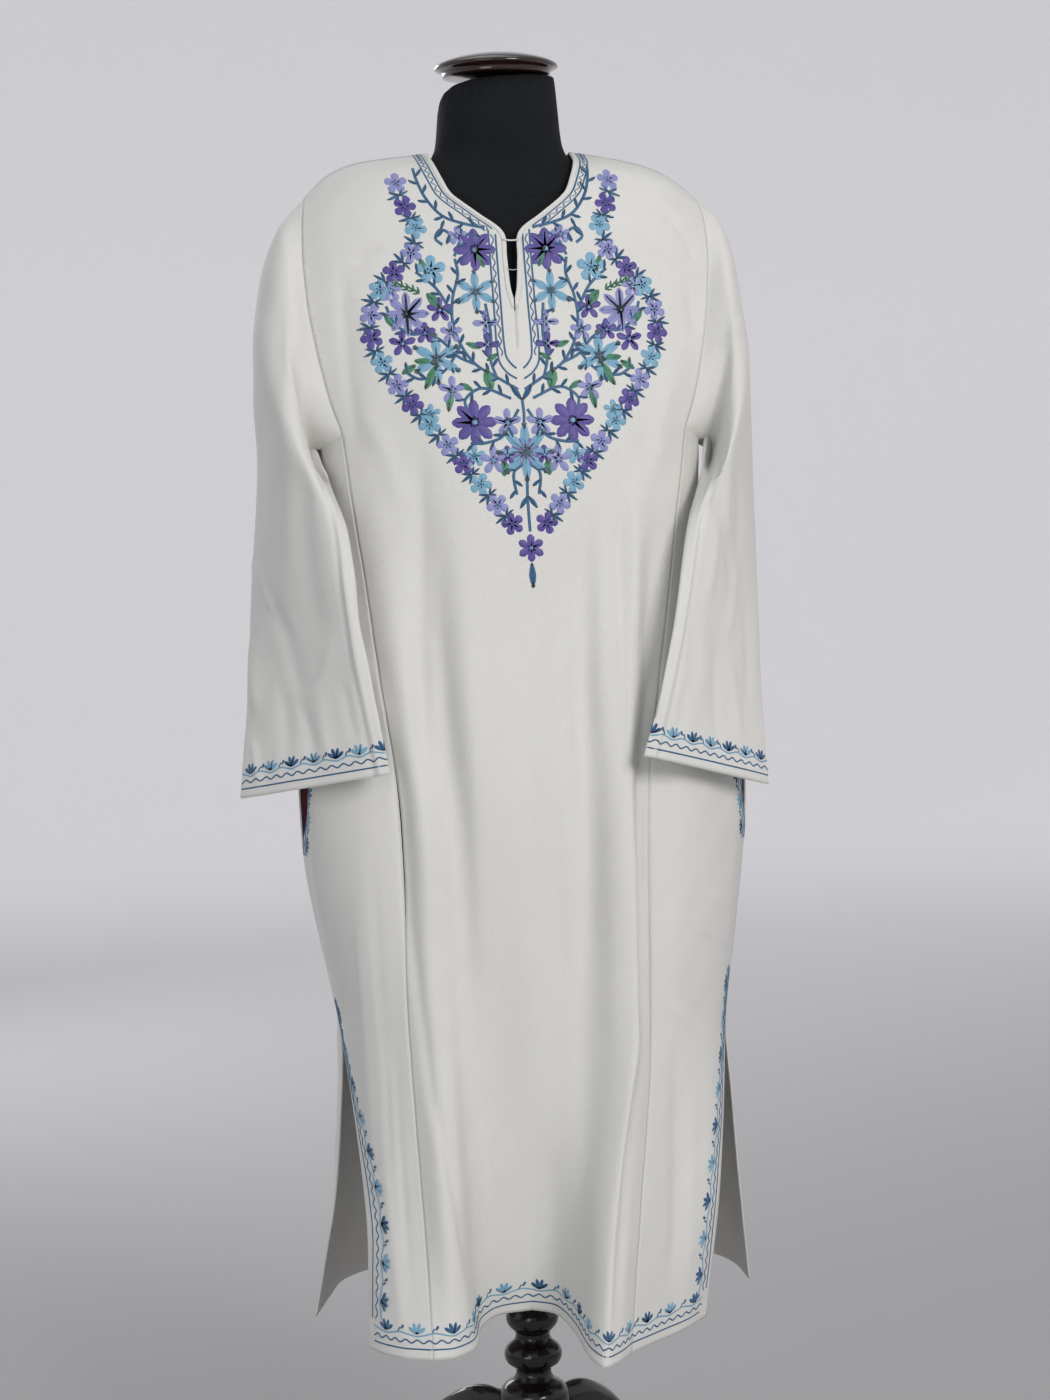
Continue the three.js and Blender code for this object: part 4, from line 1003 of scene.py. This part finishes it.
BORDER_WIDE = 1.5                  # width of the border's lines
TOOTH = 11                         # length of a full zigzag in a border
VINE_IN = 13                       # how far in from its first line a border's vine runs
FULLNESS = 1.17                    # how much fuller than its outline a flower is worked
surfaces = {}
stitches = {}


def pattern(colour, surface):
    """The flat stitches of one colour on one surface: along, up or in, and height."""
    if (colour, surface) not in stitches:
        stitches[colour, surface] = bmesh.new()
    return stitches[colour, surface]


def petal(colour, surface, place, turn, length, wide, pointed=0.4):
    """One worked petal or leaf, from its base at a place, with a raised middle."""
    mesh = pattern(colour, surface)
    disc = bmesh.ops.create_circle(mesh, cap_ends=True, segments=12, radius=1)["verts"]
    cos, sin = math.cos(math.radians(turn)), math.sin(math.radians(turn))
    for vert in disc:
        share = (vert.co.x + 1) / 2
        slim = 0.5 + 0.5 * share if share < 0.6 else 1 - pointed * (share - 0.6) / 0.4
        a, b = share * length, vert.co.y * wide / 2 * slim
        vert.co = (place[0] + a * cos - b * sin, place[1] + a * sin + b * cos, THREAD_BASE)
    faces = disc[0].link_faces[:]
    bmesh.ops.inset_individual(mesh, faces=faces, thickness=wide * 0.16, depth=THREAD_HIGH * 0.8)
    bmesh.ops.inset_individual(mesh, faces=faces, thickness=wide * 0.14, depth=THREAD_HIGH * 0.2)


def stroke(colour, surface, points, wide=STEM_WIDE, step=2.2):
    """A row of stitches along a smooth path."""
    mesh = pattern(colour, surface)
    count = max(3, int(lengths(np.array(points, dtype=float))[-1] / step))
    path = through(np.array(points, dtype=float), count + 1)
    way = np.gradient(path, axis=0)
    way /= np.maximum(np.linalg.norm(way, axis=1, keepdims=True), 1e-6)
    strip = bmesh.ops.create_grid(mesh, x_segments=count, y_segments=2, size=1)["verts"]
    for vert in strip:
        k = round((vert.co.x + 1) / 2 * count)
        off = vert.co.y * wide / 2
        vert.co = (path[k][0] - way[k][1] * off, path[k][1] + way[k][0] * off,
                   THREAD_BASE + THREAD_HIGH * (1 - abs(off) * 2 / wide) * 0.8)


def flower(colour, surface, place, radius, petals, pointed, wide, heart, turn=90):
    radius, wide = radius * FULLNESS, wide * FULLNESS
    for k in range(petals):
        petal(colour, surface, place, turn + 360 * k / petals, radius, radius * wide, pointed)
    petal(heart, surface, (place[0] - radius * 0.16, place[1]), 0, radius * 0.32, radius * 0.32, 0)


def sprig(colour, surface, place, turn, size):
    for spread, part in ((0, 1), (38, 0.8), (-38, 0.8)):
        petal(colour, surface, place, turn + spread, size * part, size * 0.34, 0.8)


def border(surface, start, stop, first, spacing):
    """A straight line, a zigzag and a scalloped vine with small fans, from the edge inwards."""
    count = max(2, round((stop - start) / spacing))
    stroke("blue", surface, [(start, first), (stop, first)], BORDER_WIDE, 5)
    teeth = 2 * count * max(1, round(spacing / TOOTH))
    steps = np.linspace(start, stop, teeth + 1)
    zigzag = [(a, first + 5.2 + 3.0 * (k % 2)) for k, a in enumerate(steps)]
    stroke("blue", surface, zigzag, BORDER_WIDE, 1.8)
    vine = np.linspace(start, stop, 4 * count + 1)
    scallops = [(a, first + VINE_IN + 1.6 * math.cos(math.pi * k / 2)) for k, a in enumerate(vine)]
    stroke("light_blue", surface, scallops, BORDER_WIDE, 3)
    for k in range(count):
        middle = start + (stop - start) * (k + 0.5) / count
        for spread in (-56, -19, 19, 56):
            fan = ("blue", "light_blue")[k % 2]
            petal(fan, surface, (middle, first + VINE_IN + 0.5), 90 + spread, 10.5, 4.6, 0.3)
        if k:
            side = start + (stop - start) * k / count
            curl = [(side - 2.5, first + 15), (side, first + 18.5), (side + 2.4, first + 17)]
            stroke("blue", surface, curl, 1.3)
            petal("blue", surface, (side + 1.4, first + 17), 60, 5, 3.2, 0.2)


# The yoke is laid out on one half, as distances from the centre line and heights, and worked
# again as its mirror image on the other.
BORDER_LINE = [(100, 1368), (96, 1346), (85, 1318), (90, 1298), (120, 1266), (133, 1234), (127, 1201),
               (100, 1157), (66, 1113), (31, 1066), (10, 1038)]
YOKE_FLOWERS = [
    # across, height, radius, petals, colour, pointed, width share
    (33, 1298, 17, 8, "purple", 0.25, 0.50), (45, 1139, 18, 8, "purple", 0.25, 0.50),
    (35, 1259, 18, 6, "light_blue", 0.90, 0.42), (75, 1198, 21, 6, "light_blue", 0.90, 0.42),
    (99, 1240, 18, 8, "lavender", 0.40, 0.42), (74, 1280, 12, 5, "light_blue", 0.10, 0.70),
    (69, 1243, 10.5, 5, "purple", 0.3, 0.55), (105, 1213, 11, 5, "purple", 0.3, 0.55),
    (28, 1210, 10.5, 4, "purple", 0.3, 0.55), (28, 1230, 10.5, 4, "lavender", 0.3, 0.55),
    (63, 1169, 11.5, 5, "lavender", 0.3, 0.55), (15, 1138, 11.5, 5, "lavender", 0.3, 0.55),
    (30, 1104, 12, 5, "lavender", 0.3, 0.55), (112, 1262, 9, 5, "lavender", 0.1, 0.6),
    (60, 1222, 9, 5, "lavender", 0.1, 0.6), (47, 1108, 9, 5, "light_blue", 0.1, 0.6),
    (84, 1222, 9, 5, "purple", 0.1, 0.6), (17, 1108, 8, 5, "purple", 0.1, 0.6),
    (84, 1148, 8, 5, "light_blue", 0.1, 0.6), (48, 1311, 8, 5, "lavender", 0.1, 0.6),
]
YOKE_LEAVES = [
    # across, height, turn in degrees, length, width
    (25, 1281, 70, 21, 11), (80, 1259, 230, 20, 13), (96, 1197, 190, 20, 11), (88, 1170, 120, 28, 12),
    (27, 1167, 80, 22, 14), (68, 1149, 100, 22, 10), (21, 1089, 95, 15, 12),
    (84, 1292, 250, 17, 9), (48, 1212, 200, 15, 8), (108, 1185, 150, 16, 9),
    (112, 1228, 60, 15, 8), (30, 1195, 150, 13, 7), (44, 1168, 30, 14, 8),
]
YOKE_STEMS = [
    [(3, 1168), (22, 1180), (40, 1192), (52, 1210), (58, 1232), (56, 1255), (50, 1275), (52, 1292)],
    [(40, 1192), (56, 1200), (70, 1215), (84, 1222)],
    [(10, 1160), (36, 1170), (52, 1160), (50, 1148)],
    [(22, 1318), (40, 1322), (60, 1330), (74, 1348), (80, 1366), (82, 1380)],
    [(62, 1303), (68, 1309), (63, 1317), (55, 1313), (56, 1306), (61, 1307)],
    [(52, 1292), (44, 1308), (30, 1316)], [(84, 1222), (98, 1222), (112, 1234), (118, 1250)],
    [(58, 1240), (70, 1262), (80, 1272), (90, 1280)], [(52, 1210), (70, 1186), (92, 1180), (108, 1190)],
    [(4, 1150), (20, 1126), (36, 1120), (52, 1120)], [(3, 1100), (12, 1092), (10, 1070)],
    [(22, 1180), (26, 1196), (24, 1220), (27, 1250)],
]
PLACKET_LINES = [
    [(19, 1316), (19, 1250), (18.6, 1196), (12, 1184), (0, 1176)],
    [(12.5, 1312), (12.5, 1250), (12, 1200), (7, 1191), (0, 1185)],
]
BORDER_ORDER = ("lavender", "purple", "light_blue")


def turned(angle, side):
    """An angle of the right half, or its mirror image on the left."""
    return angle if side > 0 else 180 - angle


def heading(path, j):
    return math.degrees(math.atan2(*(path[j] - path[j - 1])[::-1]))


border_path = through(np.array(BORDER_LINE, dtype=float), 160)
border_run = lengths(border_path)
for side in (-1, 1):
    for across, z, radius, petals, colour, pointed, wide in YOKE_FLOWERS:
        heart = "blue" if colour == "light_blue" else "light_blue"
        flower(colour, "yoke", (side * across, z), radius, petals, pointed, wide, heart)
    for across, z, turn, length, wide in YOKE_LEAVES:
        petal("green", "yoke", (side * across, z), turned(turn, side), length, wide, 0.85)
    for points in YOKE_STEMS:
        stroke("blue", "yoke", [(side * a, b) for a, b in points])
        path = through(np.array(points, dtype=float), 60)
        run = lengths(path)
        for k, at in enumerate(np.arange(9, run[-1] - 5, 9.5)):
            j = int(np.searchsorted(run, at))
            leaf_turn = turned(heading(path, j) + (48, -48)[k % 2], side)
            petal("blue", "yoke", (side * path[j][0], path[j][1]), leaf_turn, 10, 4.4, 0.6)
    for k, at in enumerate(np.linspace(4, border_run[-1] - 10, 17)):
        j = max(1, int(np.searchsorted(border_run, at)))
        spot = (side * border_path[j][0], border_path[j][1])
        flower(BORDER_ORDER[k % 3], "yoke", spot, 9.2, 5, 0.05, 0.72, "blue", 90 + 17 * k * side)
        between = border_path[max(1, int(np.searchsorted(border_run, at - 11)))]
        if k:
            for aside, size in ((90, 12), (-90, 9)):
                sprig_turn = turned(heading(border_path, j) + aside, side)
                sprig("blue", "yoke", (side * between[0], between[1]), sprig_turn, size)
    for line in PLACKET_LINES:
        stroke("blue", "yoke", [(side * a, b) for a, b in line], 1.8, 4)
    zigzag = [(side * (15.8 + 1.2 * (-1) ** k), 1312 - 5.2 * k) for k in range(23)]
    stroke("blue", "yoke", zigzag, 1.2, 1.8)
    for k in range(5):
        sprig("green", "yoke", (side * (86 + 5 * k), 1259 + 2 * k), turned(35 + 10 * (k % 2), side), 8)
for turn in (55, 125):
    petal("blue", "yoke", (0, 1158), turn, 17, 7, 0.8)
    petal("blue", "yoke", (0, 1071), turn - 180, 14, 6, 0.8)
flower("light_blue", "yoke", (0, 1111), 24, 8, 0.9, 0.36, "blue")
flower("lavender", "yoke", (0, 1111), 12, 8, 0.5, 0.4, "purple", 112)
stroke("blue", "yoke", [(0, 1158), (0.6, 1146), (0, 1136)])
stroke("blue", "yoke", [(0, 1088), (-0.6, 1070), (0, 1036)])
flower("purple", "yoke", (0, 1023), 11, 6, 0.2, 0.6, "light_blue")
petal("blue", "yoke", (0, 1010), -90, 24, 9, 0.9)

CENTRE_X = -2                      # the centre line leans: its place at the top of the slit,
CENTRE_TOP_Z = 1311
CENTRE_LEAN = 0.03                 # and how far it moves to the right for each step down
under_yoke = BVHTree.FromObject(front, bpy.context.evaluated_depsgraph_get())


def on_yoke(flat):
    """Places on the front, from the distance off its centre line, the height and the lift."""
    spots = []
    for across, z, height in flat:
        x = (across + CENTRE_X + (CENTRE_TOP_Z - z) * CENTRE_LEAN) * MM + AXIS_X
        spot, way, _, _ = under_yoke.ray_cast(Vector((x, -1, z * MM)), Vector((0, 1, 0)))
        if spot is None:
            spot, way, _, _ = under_yoke.find_nearest(Vector((x, -0.1, z * MM)))
        spot = spot / MM + way * height
        spots.append((spot.x - AXIS_X / MM, spot.y, spot.z))
    return np.array(spots)


surfaces["yoke"] = on_yoke
hem_rows = [np.concatenate([side_left[k], front_left[k, 1:], front_right[k, 1:], side_right[k, 1:]])
            for k in range(14)]
surfaces["hem"] = hem = Edge(hem_rows, (0, 0, 400))
border("hem", 12, hem.run[-1] - 12, 9.5, 35)
for name, panel, top_z in (("slit_left", side_left, 605), ("slit_right", side_right[:, ::-1], 620)):
    slit_rows = int(np.searchsorted(panel[:, 0, 2], top_z))
    surfaces[name] = slit = Edge([panel[:slit_rows, k] for k in range(8)], (0, 0, 400))
    border(name, 30, slit.run[-1] - 4, 8, 35)
for name, panel in (("pocket_left", side_left), ("pocket_right", side_right[:, ::-1])):
    first_row, last_row = np.searchsorted(panel[:, 0, 2], (732, 896))
    surfaces[name] = lip = Edge([panel[first_row:last_row, k] for k in range(8)], (0, 0, 800))
    border(name, 4, lip.run[-1] - 2, 3, 26)
for name, grid in (("left", left_grid), ("right", right_grid)):
    cuff_rows = [grid[-1 - k] for k in range(16)]
    surfaces["cuff_" + name] = cuff = Edge(cuff_rows, grid[-1].mean(axis=0))
    border("cuff_" + name, 3, cuff.run[-1] - 3, 8.5, 26)
surfaces["neck"] = neck_edge
neck_height = neck_edge.lines[0][:, 2]
neck_start, neck_stop = neck_edge.run[neck_height > 1316][[0, -1]]
for reach_in in (4.5, 11.5):
    stroke("blue", "neck", [(neck_start, reach_in), (neck_stop, reach_in)], 1.7, 4)
teeth = np.linspace(neck_start, neck_stop, 121)
stroke("blue", "neck", [(a, 8 + 1.6 * (-1) ** k) for k, a in enumerate(teeth)], 1.0, 1.8)

for name, painted_shade_hollow, painted_highlight_crest in THREADS:
    silk = Finish(name + "_thread", Roughness=0.5, Sheen_Weight=0.25, Sheen_Roughness=0.4)
    strands = silk.cloudy(silk.stretched("Object", (900, 900, 300)), 1.0, 3.0)
    lot = silk.cloudy(silk.coordinates(), 55.0, 2.0)
    # The colour follows the strands' relief, which is also the bump: it is darker in its hollows as
    # painted shade and lighter on its tops as painted highlight, mixed with random tone from the lot.
    silk.feed("Base Color", silk.between(strands * 0.6 + lot * 0.4, painted_shade_hollow, painted_highlight_crest))
    silk.relief(strands, 0.0004, 0.6)
    work = bmesh.new()
    for (colour, surface), mesh in stitches.items():
        if colour != name:
            continue
        flat = np.array([vert.co for vert in mesh.verts])
        place = surfaces[surface]
        place = place if callable(place) else place.place
        laid, raised = place(flat), place(flat + (0, 0, 1))
        facing = 0
        for vert, spot in zip(mesh.verts, laid):
            vert.co = (spot[0] * MM + AXIS_X, spot[1] * MM, spot[2] * MM)
        mesh.verts.index_update()
        for face in mesh.faces:
            face.normal_update()
            k = face.verts[0].index
            facing += face.normal.dot(Vector(raised[k] - laid[k]))
        if facing < 0:
            bmesh.ops.reverse_faces(mesh, faces=mesh.faces[:])
        kept = bpy.data.meshes.new("laid")
        mesh.to_mesh(kept)
        work.from_mesh(kept)
    embroidery = shown("embroidery_" + name, work, silk)
    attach(embroidery, "root")
    name + "_thread"
